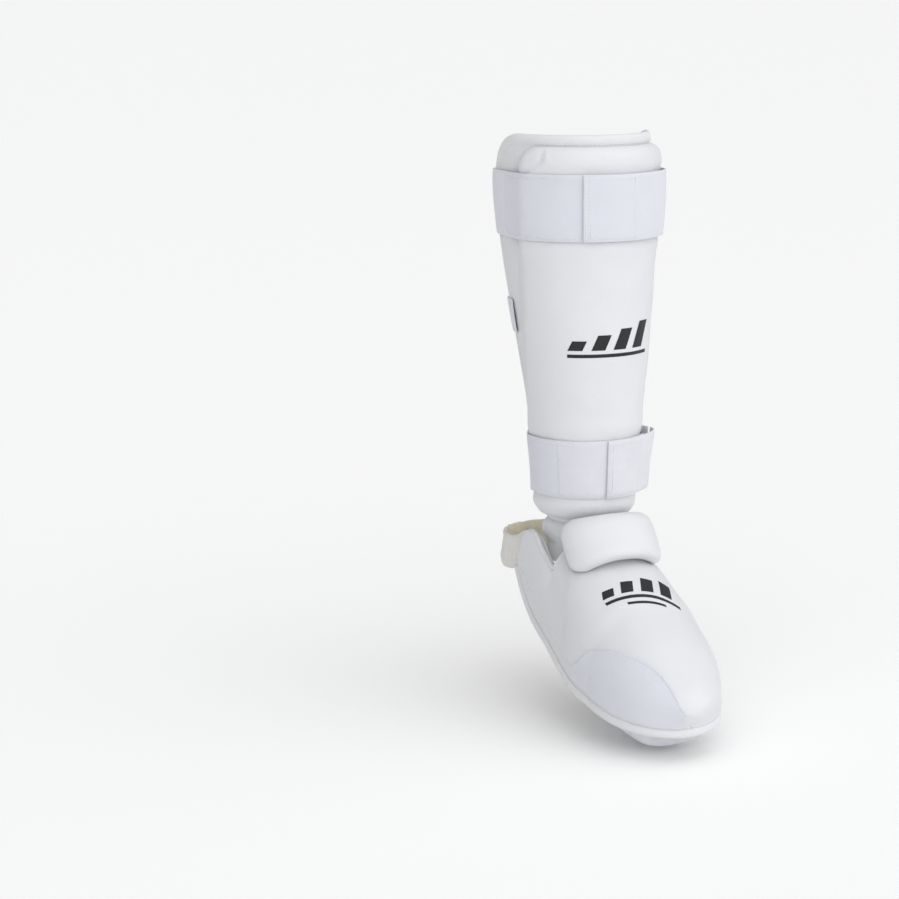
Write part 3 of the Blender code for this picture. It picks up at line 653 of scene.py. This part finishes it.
def build_shin():
    pad = wrap_grid(PAD_LOW, PAD_HIGH, pad_half, 120, 90)
    cover = pillow("shin_pad", raised(pad, BACKING_OUT + STRAP_CLEAR), raised(pad, pad_skin), LEATHER,
                   "shin_guard", ("shin_cover", "shin_foam"))
    wings = wrap_grid(SHIN_LOW, SHIN_HIGH, wing_half, 70, 70)
    backing, thick = BACKING_SKIN
    strip("shin_backing_skin", raised(wings, backing), thick, LEATHER, "shin_guard",
          ("shin_backing",), edge=0)
    lining, thick = LINING_SKIN
    strip("shin_lining_skin", raised(wings, lining), thick, KNIT, "shin_guard",
          ("shin_lining",), edge=0)
    right, left = [row[-1] for row in wings[1:-1]], [row[0] for row in wings[-2:0:-1]]
    places = [Vector(p) for p in wings[0] + right + wings[-1][::-1] + left]
    centres, sides, tops = [], [], []
    for i, p in enumerate(places):
        along = (places[(i + 1) % len(places)] - places[i - 1]).normalized()
        out = Vector((along.y, -along.x))
        here, there = (leg_point(p.x + out.x * far, p.y + out.y * far, WRAP_MIDDLE)
                       for far in (BINDING_OUT, BINDING_OUT + BINDING_ACROSS))
        centres.append(here)
        sides.append((there - here).normalized())
        tops.append(from_axis(here).normalized())
    sweep("shin_binding_tape", centres, sides, tops, BINDING_HALVES, TAPE, "shin_guard",
          ("shin_edge_binding",), closed=True, ring=14)
    inside = [c - s * BINDING_SEAM_IN + t * BINDING_SEAM_UP for c, s, t in zip(centres, sides, tops)]
    stitches("binding_stitches", inside, from_axis, "shin_guard", closed=True)
    rising = even(90, PAD_LOW + PAD_SEAM_LOW, PAD_HIGH - PAD_SEAM_HIGH)
    falling = even(90, PAD_HIGH - PAD_SEAM_HIGH, PAD_LOW + PAD_SEAM_LOW)
    seam = [leg_point((pad_half(z) + PAD_SEAM_OUT) * side, z, BACKING_OUT + PAD_SEAM_UP)
            for side, heights in ((1, rising), (-1, falling)) for z in heights]
    stitches("pad_seam_stitches", seam, from_axis, "shin_guard")


STRAP_DIP, STRAP_FLUTTER = 0.35 * MM, 0.15 * MM  # the webbing's rolled edges, and the free end's waviness
STRAP_WAVE, STRAP_WAVE_DEEP = 1.6, 0.35 * MM
# Inner face and thickness of each strap layer.
BAND_LAYER, PANEL_LAYER, HOOK_LAYER = (0.45 * MM, 1.4 * MM), (0.5 * MM, 1.2 * MM), (1.75 * MM, 0.6 * MM)
TAB_LAYER, MIDDLE_LAYER = (2.45 * MM, 1.3 * MM), (0.45 * MM, 1.2 * MM)
STRAP_SEAM_IN, PANEL_SEAM_UP, TAB_SEAM_UP, TAB_EDGE = 2.6 * MM, 1.75 * MM, 3.85 * MM, 0.4 * MM
BAND_FROM, BAND_TO, TAB_TO = 0.6, 6, 0.4  # degrees past the root, the panel's end and the root
PANEL_SEAM_FROM, PANEL_SEAM_TO, TAB_SEAM_FROM = 2, 1.5, 1.6
CROSS_SEAMS = (1.6, 4.2, 33)  # degrees past the free end


def strap_rows(strap, ends, offset, columns, inset=0.0, rows=10, flutter=0.0):
    """Rows of points over a stretch of strap between two angles in degrees."""
    made = []
    for z in even(rows, strap["low"] + inset, strap["high"] - inset):
        v = 2 * (z - strap["low"]) / (strap["high"] - strap["low"]) - 1
        row = []
        for degrees in even(columns, *ends):
            wave = ripple((degrees * 0.02, z * 8, 1.0), STRAP_WAVE, STRAP_WAVE_DEEP)
            wave += flutter * noise.noise(Vector((degrees * 0.09, v * 0.8, 4.0)))
            row.append(strap_point(strap, degrees, z, offset - STRAP_DIP * v**4 + wave))
        made.append(row)
    return made


def build_strap(name, strap, tab_finish):
    root, end, tab = strap["root"], strap["end"], f"{name}_tab"
    panel_end = PANEL_ENDS[1] if name == "upper" else WORN_FROM
    over = (end + HOOK_STARTS, end + HOOK_ENDS)

    def layer(piece, ends, sheet, columns, finish, body, slot, replaced=(), edge=SOFT_EDGE, **shape):
        rows = strap_rows(strap, ends, sheet[0], columns, **shape)
        strip(f"{name}_{piece}", rows, sheet[1], finish, body, replaced, edge)

    layer("band_webbing", (root + BAND_FROM, 360 + PANEL_ENDS[0] + BAND_TO), BAND_LAYER, 110, WEBBING,
          "shin_guard", "elastic", (f"{name}_strap_band",))
    layer("loop_pile", (PANEL_ENDS[0], panel_end), PANEL_LAYER, 90, LOOP, "shin_guard", "loop",
          (f"{name}_loop_panel",))
    if name == "lower":
        layer("worn_pile", (panel_end, PANEL_ENDS[1]), PANEL_LAYER, 90, WORN, "shin_guard", "loop")
    layer("hook_tape", over, HOOK_LAYER, 24, HOOK, tab, "hook", (f"{name}_hook_patch",), edge=0,
          inset=HOOK_INSET, rows=6)
    layer("tab_webbing", (end, root + TAB_TO), TAB_LAYER, 80, tab_finish, tab, "elastic",
          (f"{name}_strap_tab",), edge=TAB_EDGE, flutter=STRAP_FLUTTER)
    low, high = strap["low"] + STRAP_SEAM_IN, strap["high"] - STRAP_SEAM_IN
    panel_seam = (PANEL_ENDS[0] + PANEL_SEAM_FROM, end - PANEL_SEAM_TO)
    tab_seam = (end + TAB_SEAM_FROM, end + HOOK_ENDS)
    for k, z in enumerate((low, high)):
        line = [strap_point(strap, degrees, z, PANEL_SEAM_UP) for degrees in even(60, *panel_seam)]
        stitches(f"{name}_panel_stitches_{k}", line, from_axis, "shin_guard", CLOSE_STEP)
        line = [strap_point(strap, degrees, z, TAB_SEAM_UP) for degrees in even(60, *tab_seam)]
        stitches(f"{name}_tab_stitches_{k}", line, from_axis, tab, CLOSE_STEP)
    for k, past in enumerate(CROSS_SEAMS):
        line = [strap_point(strap, end + past, z, TAB_SEAM_UP) for z in even(16, low, high)]
        stitches(f"{name}_end_stitches_{k}", line, from_axis, tab, CLOSE_STEP)


def build_straps():
    build_strap("upper", UPPER, LOOP)
    build_strap("lower", LOWER, WORN)
    out, thick = MIDDLE_LAYER
    strip("middle_band_webbing", strap_rows(MIDDLE, MIDDLE_ENDS, out, 90, rows=6), thick, WEBBING,
          "shin_guard", ("middle_calf_band",))


TONGUE_SKIN, TONGUE_EDGE = (0.2 * MM, 1.5 * MM), 0.5 * MM
TONGUE_BINDING_UP, TONGUE_BINDING_HALVES = 0.8 * MM, (1.5 * MM, 1.5 * MM)
LOOSE_TOP, LOOSE_RUN, LOOSE_WAVE = 0.040, 0.006, (40, 0.6 * MM)


def tongue_rows():
    """Rows over the tongue, straight inside the shin guard and flared, with loose edges, below it."""
    made = []
    for z in spread(50, TONGUE_LOW, TONGUE_HIGH):
        flare = TONGUE_FLARE * smooth((TONGUE_NECK - z) / (TONGUE_NECK - TONGUE_LOW))
        swell = TONGUE_SWELL * smooth((SWELL_TOP - z) / SWELL_TOP_RUN)
        swell *= smooth((z - SWELL_FOOT) / SWELL_FOOT_RUN)
        loose = smooth((LOOSE_TOP - z) / LOOSE_RUN)
        row = []
        for s in even(60, -TONGUE_HALF, TONGUE_HALF):
            stand = flare + swell * (s / TONGUE_HALF) ** 2 + ripple((s, z, 9.0), *LOOSE_WAVE) * loose
            p = leg_point(s, SHIN_LOW, TONGUE_SKIN[0] - TONGUE_INSIDE + stand)
            row.append(Vector((p.x, p.y, z)))
        made.append(row)
    return made


def build_tongue():
    body = tongue_rows()
    strip("tongue_skin", body, TONGUE_SKIN[1], LEATHER, "tongue_body", ("tongue",), edge=TONGUE_EDGE)
    for side, last in (("left", 0), ("right", -1)):
        line = [row[last] + from_axis(row[last]).normalized() * TONGUE_BINDING_UP for row in body]
        sides = [from_axis(p).normalized() for p in line]
        tops = [Vector((-s.y, s.x, 0.0)) for s in sides]
        sweep(f"tongue_edge_{side}", line, sides, tops, TONGUE_BINDING_HALVES, TAPE, "tongue_body")
    for node, finish in (("tongue_loop_patch", LOOP), ("shin_hook_patch", HOOK)):
        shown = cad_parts[node]
        shown.data.materials.clear()
        shown.data.materials.append(finish)


# -------- instep guard

COVER_FOOT_IN = 0.3 * MM  # the unevenness stands on a cover this much inside the plain wall
FOOT_BROAD_WAVE, FOOT_FINE_WAVE = (24, 0.8 * MM, 3.0), (70, 0.25 * MM)  # scale, depth and seed
CREASE_TURN = 0.04  # metres of crease table for each radian of turn
RIM_GATHER, RIM_GATHER_AT, RIM_GATHER_SPREAD, RIM_GATHERS_PER_METRE = 0.4 * MM, 0.14, 0.08, 170
INSTEP_CREASES = [
    ((-0.0560, 0.1020), (-0.0900, 0.1080), 5.0, 1.3), ((-0.0560, 0.0236), (-0.0900, 0.0176), 5.0, 1.3),
    ((-0.0640, 0.0920), (-0.0780, 0.0960), 3.0, 0.6),
]
SHELL_THICK, INNER_SKIN = 3.4 * MM, (0.3 * MM, 0.9 * MM)
WELT_OUT, WELT_DROP, WELT_HALVES = 3.4 * MM, 3.2 * MM, (2.5 * MM, 4.0 * MM)
RIM_SEAM_TURN, RIM_SEAM_UP, RIM_SEAM_PAST = 0.16, 0.25 * MM, 0.004
OPENING_IN, OPENING_HALVES = 1.4 * MM, (2.0 * MM, 1.6 * MM)
TOE_PANEL_SKIN, TOE_SEAM_IN, TOE_SEAM_UP = (0.35 * MM, 0.8 * MM), 0.035, 1.35 * MM
TOE_BAND_CURL = [(3.0 * MM, 0.93), (5.5 * MM, 0.80), (7.5 * MM, 0.62)]  # past its front edge, share of depth
BAND_WAVE = (60, 0.9 * MM)
OUT_SHARES, OUT_LIFT, TOE_LEVEL_FROM = (1.2, 1.4, 0.9), 0.004, -0.16


def foot_skin(y, turn, lift=0.0):
    """Outer face of the instep cover, with slight unevenness away from the rim."""
    wall = foot_wall(turn) - COVER_FOOT_IN
    rise = smooth(math.sin(turn) * 2.0)
    p = foot_point(y, turn, wall)
    soft = (ripple(p, *FOOT_BROAD_WAVE) + ripple(p, *FOOT_FINE_WAVE)) * rise
    fold = creased(p.y, turn * CREASE_TURN, INSTEP_CREASES)
    gather = RIM_GATHER * noise.noise(Vector((y * RIM_GATHERS_PER_METRE, 1.0 if turn < 1.5 else 5.0, 0.0)))
    gather *= math.exp(-((math.sin(turn) - RIM_GATHER_AT) / RIM_GATHER_SPREAD) ** 2)
    return foot_point(y, turn, wall + soft + gather - fold + lift)


def foot_out(p):
    """Roughly out of the instep surface at a point, for laying stitches."""
    above_rim = p.z - through(FOOT_RIM, min(max(p.y, TOE_LEVEL_FROM), 0.0))
    wide, along, up = OUT_SHARES
    return Vector((p.x * wide, min(p.y - TOE_ROUND_STARTS, 0.0) * along, above_rim * up + OUT_LIFT))


def seam_turn(y):
    return math.radians(through(TOE_SEAM, y))


TOE_STEPS = 26
TOE_STATIONS = [TOE_ROUND_STARTS - TOE_ROUND * math.sin(t) for t in even(TOE_STEPS, 0.0, math.pi / 2)[1:]]


def foot_grid(point, stations=46, side=14, middle=60):
    """Tunnel and wings as one open mesh: point(y, turn) gives each place."""
    slot_turn = wing_turn(TUNNEL_BACK, WALL_RIM)
    turns = even(side, 0.0, slot_turn) + even(middle, slot_turn, math.pi - slot_turn)[1:-1]
    turns += even(side, math.pi - slot_turn, math.pi)
    ys = even(stations, TUNNEL_BACK, TOE_ROUND_STARTS) + TOE_STATIONS
    tunnel = [[point(y, t) for t in turns] for y in ys]
    verts = [p for row in tunnel for p in row]
    coords = grid_uv(tunnel)
    faces = grid_faces(len(tunnel), len(turns))
    for right in (True, False):
        rows = []
        for y in even(30, FOOT_BACK, TUNNEL_BACK):
            top = wing_turn(y, WALL_RIM) if y > TUNNEL_BACK else slot_turn
            ts = even(side, 0.0, top)
            rows.append([point(y, t if right else math.pi - t) for t in (ts if right else ts[::-1])])
        first = len(verts)
        verts += [p for row in rows for p in row]
        coords += grid_uv(rows)
        faces += grid_faces(len(rows), side + 1, first)
    return verts, coords, faces


def foot_mesh(name, point, finish, body, replaced):
    verts, coords, faces = foot_grid(point)
    mesh = mesh_of(name, verts, faces, coords)
    work = bmesh.new()
    work.from_mesh(mesh)
    bmesh.ops.remove_doubles(work, verts=work.verts, dist=SEAM_WELD)
    work.to_mesh(mesh)
    work.free()
    return place(name, mesh, finish, body, replaced)


def rim_line(offset, drop, steps=60):
    """The line under the rim from the left heel end round the toe to the right heel end."""
    right = []
    for y in even(steps, FOOT_BACK, TOE_ROUND_STARTS) + TOE_STATIONS:
        half, _, station = foot_section(y, offset)
        slope = (through(FOOT_RIM, y + MM) - through(FOOT_RIM, y - MM)) / (2 * MM)
        down = Vector((0.0, slope, -1.0)).normalized() * drop
        right.append(Vector((half, station + down.y, through(FOOT_RIM, y) + down.z)))
    return [Vector((-p.x, p.y, p.z)) for p in right[:-1]] + right[::-1]


def framed(line):
    """Side and up directions along a line that lies nearly level."""
    sides, tops = [], []
    for i in range(len(line)):
        along = (line[min(i + 1, len(line) - 1)] - line[max(i - 1, 0)]).normalized()
        side = along.cross(Vector((0.0, 0.0, 1.0))).normalized()
        sides.append(side)
        tops.append(side.cross(along).normalized())
    return sides, tops


def build_shell():
    shell = foot_mesh("instep_shell", foot_skin, LEATHER, "instep_guard",
                      ("instep_cover", "instep_foam", "left_wing_cover", "left_wing_foam", "right_wing_cover",
                       "right_wing_foam"))
    thickened(shell, SHELL_THICK, -1.0)
    out, thick = INNER_SKIN
    inner = foot_mesh("instep_inner", lambda y, t: foot_point(y, t, out), KNIT, "instep_guard",
                      ("instep_lining",))
    thickened(inner, thick, 1.0)


def build_rim():
    line = rim_line(WELT_OUT, WELT_DROP)
    sides, tops = framed(line)
    sweep("rim_welt_tape", line, sides, tops, WELT_HALVES, TAPE, "instep_guard", ("rim_welt",),
          ring=14)
    stations = even(60, FOOT_BACK - RIM_SEAM_PAST, TOE_ROUND_STARTS) + TOE_STATIONS
    left = [foot_skin(y, math.pi - RIM_SEAM_TURN, RIM_SEAM_UP) for y in stations]
    right = [foot_skin(y, RIM_SEAM_TURN, RIM_SEAM_UP) for y in stations]
    stitches("rim_stitches", left[:-1] + right[::-1], foot_out, "instep_guard")


def build_opening():
    side = [foot_skin(y, wing_turn(y, WALL_RIM), -OPENING_IN) for y in even(40, FOOT_BACK, TUNNEL_BACK)]
    slot_turn = wing_turn(TUNNEL_BACK, WALL_RIM)
    arch = [foot_skin(TUNNEL_BACK, t, -OPENING_IN) for t in even(60, slot_turn, math.pi - slot_turn)][1:-1]
    line = side + arch + [Vector((-p.x, p.y, p.z)) for p in reversed(side)]
    sides = [Vector((p.x, 0.0, 0.3 * p.z)).normalized() for p in line]
    tops = [Vector((0.0, 1.0, 0.0))] * len(line)
    sweep("ankle_opening_edge", line, sides, tops, OPENING_HALVES, TAPE, "instep_guard")


def build_toe_panel():
    out, thick = TOE_PANEL_SKIN
    ys = spread(60, TOE_PANEL_STARTS, TOE_PANEL_ENDS)
    rows = [[foot_skin(y, t, out) for t in even(36, seam_turn(y), math.radians(TOE_PANEL_RIM))] for y in ys]
    strip("toe_loop_panel", rows, thick, LOOP, "instep_guard", ("toe_panel",))
    seam = [foot_skin(y, seam_turn(y) + TOE_SEAM_IN, TOE_SEAM_UP) for y in ys]
    stitches("toe_panel_stitches", seam, foot_out, "instep_guard", CLOSE_STEP)


def sole_band(name, band, curl=()):
    """Elastic slung under the sole. curl lists places past its front edge, each with a share of its depth."""
    front, back = band["ends"]
    places = [(y, 1.0) for y in even(10, back, front)] + [(front - past, share) for past, share in curl]
    rows = []
    for y, share in places:
        half, _, station = foot_section(y, -SOLE_BAND_INSIDE)
        row = []
        for angle in even(48, math.pi, 0.0):
            x = half * power(math.cos(angle), SOLE_BAND_WIDE)
            hang = (band["depth"] * share + SOLE_BAND_SEWN) * power(math.sin(angle), SOLE_BAND_DEEP)
            z = through(FOOT_RIM, y) + SOLE_BAND_SEWN - hang
            row.append(Vector((x, station, z + ripple((x, y, 0.0), *BAND_WAVE))))
        rows.append(row[::-1])
    strip(f"{name}_band_webbing", rows, SOLE_BAND_THICK, WEBBING, "instep_guard",
          (f"{name}_band",))


def build_instep():
    build_shell()
    build_rim()
    build_opening()
    build_toe_panel()
    sole_band("toe", TOE_BAND, TOE_BAND_CURL)
    sole_band("arch", ARCH_BAND)


PUFF_WAVE, PAD_GATHER, PAD_GATHERS = (1.3, 0.6 * MM), 0.35 * MM, 14
PAD_GATHER_AWAY, PAD_GATHER_SPREAD = 0.12, 0.1  # shares of the pad's half size


def build_ankle_pad():
    rows, columns = 44, 80
    inner, outer = [], []
    for rise in spread(rows, -1, 1):
        width = 1 - ANKLE_CORNER_CUT * abs(rise) ** 7
        line_in, line_out = [], []
        for s in spread(columns, -width, width):
            arc = s / width
            near = min(1 - abs(arc), 1 - abs(rise))
            run = arc if 1 - abs(rise) < 1 - abs(arc) else rise
            gather = PAD_GATHER * noise.noise(Vector((run * PAD_GATHERS, 2.0, 0.0)))
            fade = math.exp(-((near - PAD_GATHER_AWAY) / PAD_GATHER_SPREAD) ** 2)
            soft = ripple((s, rise, 0.0), *PUFF_WAVE) + gather * fade
            line_in.append(ankle_point(s, rise, ANKLE_IN))
            line_out.append(ankle_point(s, rise, ankle_thickness(arc, rise) + soft * smooth(near * 6)))
        inner.append(line_in)
        outer.append(line_out)
    pad = pillow("ankle_pad", inner, outer, LEATHER, "instep_guard",
                 ("ankle_pad_cover", "ankle_pad_foam"))


HEEL_MIDDLE, HEEL_HALF_THICK, HEEL_SHORT = 1.2 * MM, 3.1 * MM, 0.2 * MM
HEEL_FLAT_SHARE, HEEL_PUFF_FROM, HEEL_PUFF_RUN = 0.38, 0.18, 0.16  # the sewn ends are flatter than the loop
HEEL_ROLL, HEEL_ROLL_FROM, HEEL_ROLL_RUN, HEEL_LEAN = 1.6 * MM, 0.006, 0.008, -0.10
HEEL_RUMPLE = (0.9, 1.1 * MM)
HEEL_LOOP_CENTRE, FRAY_AND_SHADE_FACING = 0.02, -0.006  # the inner face, which looks at the loop's centre, is frayed, and its tan colour is also painted shade and a painted reflection of skin


def build_heel_band():
    shares = [-1 + 2 * k / 170 for k in range(171)]
    ring = 28
    centres = [heel_point(-share, HEEL_MIDDLE) for share in shares]
    verts, coords, along = [], [], 0.0
    for i, (share, centre) in enumerate(zip(shares, centres)):
        out = (heel_point(-share, 3.0 * MM) - heel_point(-share, 0.0)).normalized()
        along += (centre - centres[i - 1]).length if i else 0.0
        from_end = 1 - abs(share)
        puff = between((HEEL_FLAT_SHARE, 1.0), smooth((from_end - HEEL_PUFF_FROM) / HEEL_PUFF_RUN))
        gathered = between((HEEL_END_SHARE, 1.0), smooth(from_end / HEEL_GATHER_RUN))
        for k in range(ring):
            t = 2 * math.pi * k / ring
            up = (HEEL_BAND_HALF - HEEL_SHORT) * gathered * power(math.sin(t), 0.55)
            side = HEEL_HALF_THICK * puff * power(math.cos(t), 0.75)
            lean = HEEL_LEAN * up + HEEL_ROLL * smooth((up - HEEL_ROLL_FROM) / HEEL_ROLL_RUN) * puff
            rumple = ripple((share * 30, t * 2.2, 4.0), *HEEL_RUMPLE) * puff
            verts.append(centre + out * (side + lean + rumple) + Vector((0.0, 0.0, up + rumple * 0.5)))
            coords.append((along, up))
    faces = [(i * ring + k, i * ring + (k + 1) % ring, (i + 1) * ring + (k + 1) % ring, (i + 1) * ring + k)
             for i in range(len(shares) - 1) for k in range(ring)]
    faces += [tuple(range(ring - 1, -1, -1)), tuple((len(shares) - 1) * ring + k for k in range(ring))]
    mesh = mesh_of("heel_band_elastic", verts, faces)
    facing_out(mesh)
    uv_of(mesh, coords)
    place("heel_band_elastic", mesh, HEEL, "heel_loop", ("heel_band",))
    # The inner faces take the tan colour: frayed fabric, and also painted shade and a painted reflection of
    # skin inside the loop.
    mesh.materials.append(FRAY_AND_SHADE)
    for face in mesh.polygons:
        outward = Vector((face.center.x, face.center.y - HEEL_LOOP_CENTRE, 0.0))
        if face.normal.dot(outward) < FRAY_AND_SHADE_FACING:
            face.material_index = 1


# -------- printed marks

MARK_WIDTH, SHIN_MARK_HEIGHT, INSTEP_MARK_HEIGHT = 0.056, 0.021, 0.019
MARK_BARS, BAR_SHARE, LEAN_SHARE, FIRST_BAR, BAR_GROWTH = 4, 0.62, 0.35, 0.35, 0.2
RULE, SHORT_RULE = (-0.0055, -0.0028), (-0.0105, -0.0085)  # heights under the bars
PRINT_UP = 0.12 * MM
SHIN_MARK_AT, INSTEP_MARK_AT, INSTEP_MARK_SKEW, INSTEP_MARK_RADIUS = (0.001, 0.1775), -0.1215, 0.22, 0.0560


def printed(name, shapes, on_surface, body):
    """Flat printed shapes. Each is four corners in metres on the print's own plane."""
    verts, faces = [], []
    n = 12
    for corners in shapes:
        first = len(verts)
        low_left, low_right, high_right, high_left = (Vector(corner) for corner in corners)
        for i in range(n + 1):
            left, right = low_left.lerp(high_left, i / n), low_right.lerp(high_right, i / n)
            verts += [on_surface(left.lerp(right, j / n)) for j in range(n + 1)]
        faces += grid_faces(n + 1, n + 1, first)
    place(name, mesh_of(name, verts, faces), PRINT, body)


def rectangle(half, heights):
    low, high = heights
    return ((-half, low), (half, low), (half, high), (-half, high))


def mark(height):
    """Slanted bars that rise from left to right over a thin rule."""
    pitch = MARK_WIDTH / MARK_BARS
    shapes = []
    for i in range(MARK_BARS):
        left = -MARK_WIDTH / 2 + i * pitch
        right = left + pitch * BAR_SHARE
        top = height * (FIRST_BAR + BAR_GROWTH * i)
        lean = LEAN_SHARE * top
        shapes.append(((left, 0.0), (right, 0.0), (right + lean, top), (left + lean, top)))
    return shapes + [rectangle(MARK_WIDTH / 2, RULE)]


def build_marks():
    def on_shin(p):
        s, z = p.x + SHIN_MARK_AT[0], p.y + SHIN_MARK_AT[1]
        return leg_point(s, z, pad_skin(s, z) + PRINT_UP)

    def on_instep(p):
        y = INSTEP_MARK_AT + p.y - p.x * INSTEP_MARK_SKEW
        return foot_skin(y, math.pi / 2 - p.x / INSTEP_MARK_RADIUS, PRINT_UP)

    printed("shin_mark", mark(SHIN_MARK_HEIGHT), on_shin, "shin_guard")
    short_rule = rectangle(MARK_WIDTH / 4, SHORT_RULE)
    printed("instep_mark", mark(INSTEP_MARK_HEIGHT) + [short_rule], on_instep, "instep_guard")


# -------- studio


FLOOR_HEIGHT, FLOOR_HALF = -0.1085, 60
LIGHT_FROM = (0.15, -0.86, 0.47)
SHADE_SIDE, LIT_SIDE, SEEN = 0.36, 1.70, 0.94
KEY = {"place": (1.3, -1.7, 1.5), "aim": (0.0, -0.04, 0.1), "size": 1.6, "watts": 1.0}


def build_studio():
    corners = rectangle(FLOOR_HALF, (-FLOOR_HALF, FLOOR_HALF))
    mesh = mesh_of("floor", [(x, y, FLOOR_HEIGHT) for x, y in corners], [(0, 1, 2, 3)])
    mesh.materials.append(finish_of("pale floor", (0.98, 0.98, 0.97), 0.9, specular=0.1))
    floor = bpy.data.objects.new("floor", mesh)
    bpy.context.scene.collection.objects.link(floor)
    world = bpy.data.worlds.new("studio")
    bpy.context.scene.world = world
    world.use_nodes = True
    nodes, links = world.node_tree.nodes, world.node_tree.links
    facing = nodes.new("ShaderNodeVectorMath")
    facing.operation = "DOT_PRODUCT"
    put(facing, 1, Vector(LIGHT_FROM).normalized())
    links.new(nodes.new("ShaderNodeTexCoord").outputs["Generated"], facing.inputs[0])
    glow = nodes.new("ShaderNodeMapRange")
    glow.interpolation_type = "SMOOTHSTEP"
    put(glow, "From Min", -0.15)
    put(glow, "From Max", 1.0)
    put(glow, "To Min", SHADE_SIDE)
    put(glow, "To Max", LIT_SIDE)
    links.new(facing.outputs["Value"], glow.inputs["Value"])
    seen = nodes.new("ShaderNodeMix")
    links.new(nodes.new("ShaderNodeLightPath").outputs["Is Camera Ray"], seen.inputs["Factor"])
    links.new(glow.outputs["Result"], seen.inputs["A"])
    put(seen, "B", SEEN)
    links.new(seen.outputs["Result"], nodes["Background"].inputs["Strength"])
    put(nodes["Background"], "Color", (0.985, 0.99, 1.0, 1.0))
    light = bpy.data.lights.new("key", "AREA")
    light.shape = "DISK"
    light.size = KEY["size"]
    light.energy = KEY["watts"]
    lamp = bpy.data.objects.new("key", light)
    lamp.location = KEY["place"]
    lamp.rotation_euler = (Vector(KEY["aim"]) - lamp.location).to_track_quat("-Z", "Y").to_euler()
    bpy.context.scene.collection.objects.link(lamp)
    view = bpy.context.scene.view_settings
    view.view_transform = "Standard"
    view.look = "None"


def build_camera():
    azimuth, distance, height = math.radians(-26.62), 1.73, 0.455
    pan, tilt = math.radians(3.183), math.radians(12.022)
    data = bpy.data.cameras.new("camera")
    data.lens = 89.09  # millimetres, on a sensor 36 mm wide
    data.sensor_width = 36.0
    camera = bpy.data.objects.new("camera", data)
    camera.location = (math.sin(azimuth) * distance, -math.cos(azimuth) * distance, height)
    camera.rotation_euler = (math.pi / 2 - tilt, 0.0, azimuth + pan)
    bpy.context.scene.collection.objects.link(camera)
    bpy.context.scene.camera = camera


build_shin()
build_straps()
build_tongue()
build_instep()
build_ankle_pad()
build_heel_band()
build_marks()
build_studio()
build_camera()
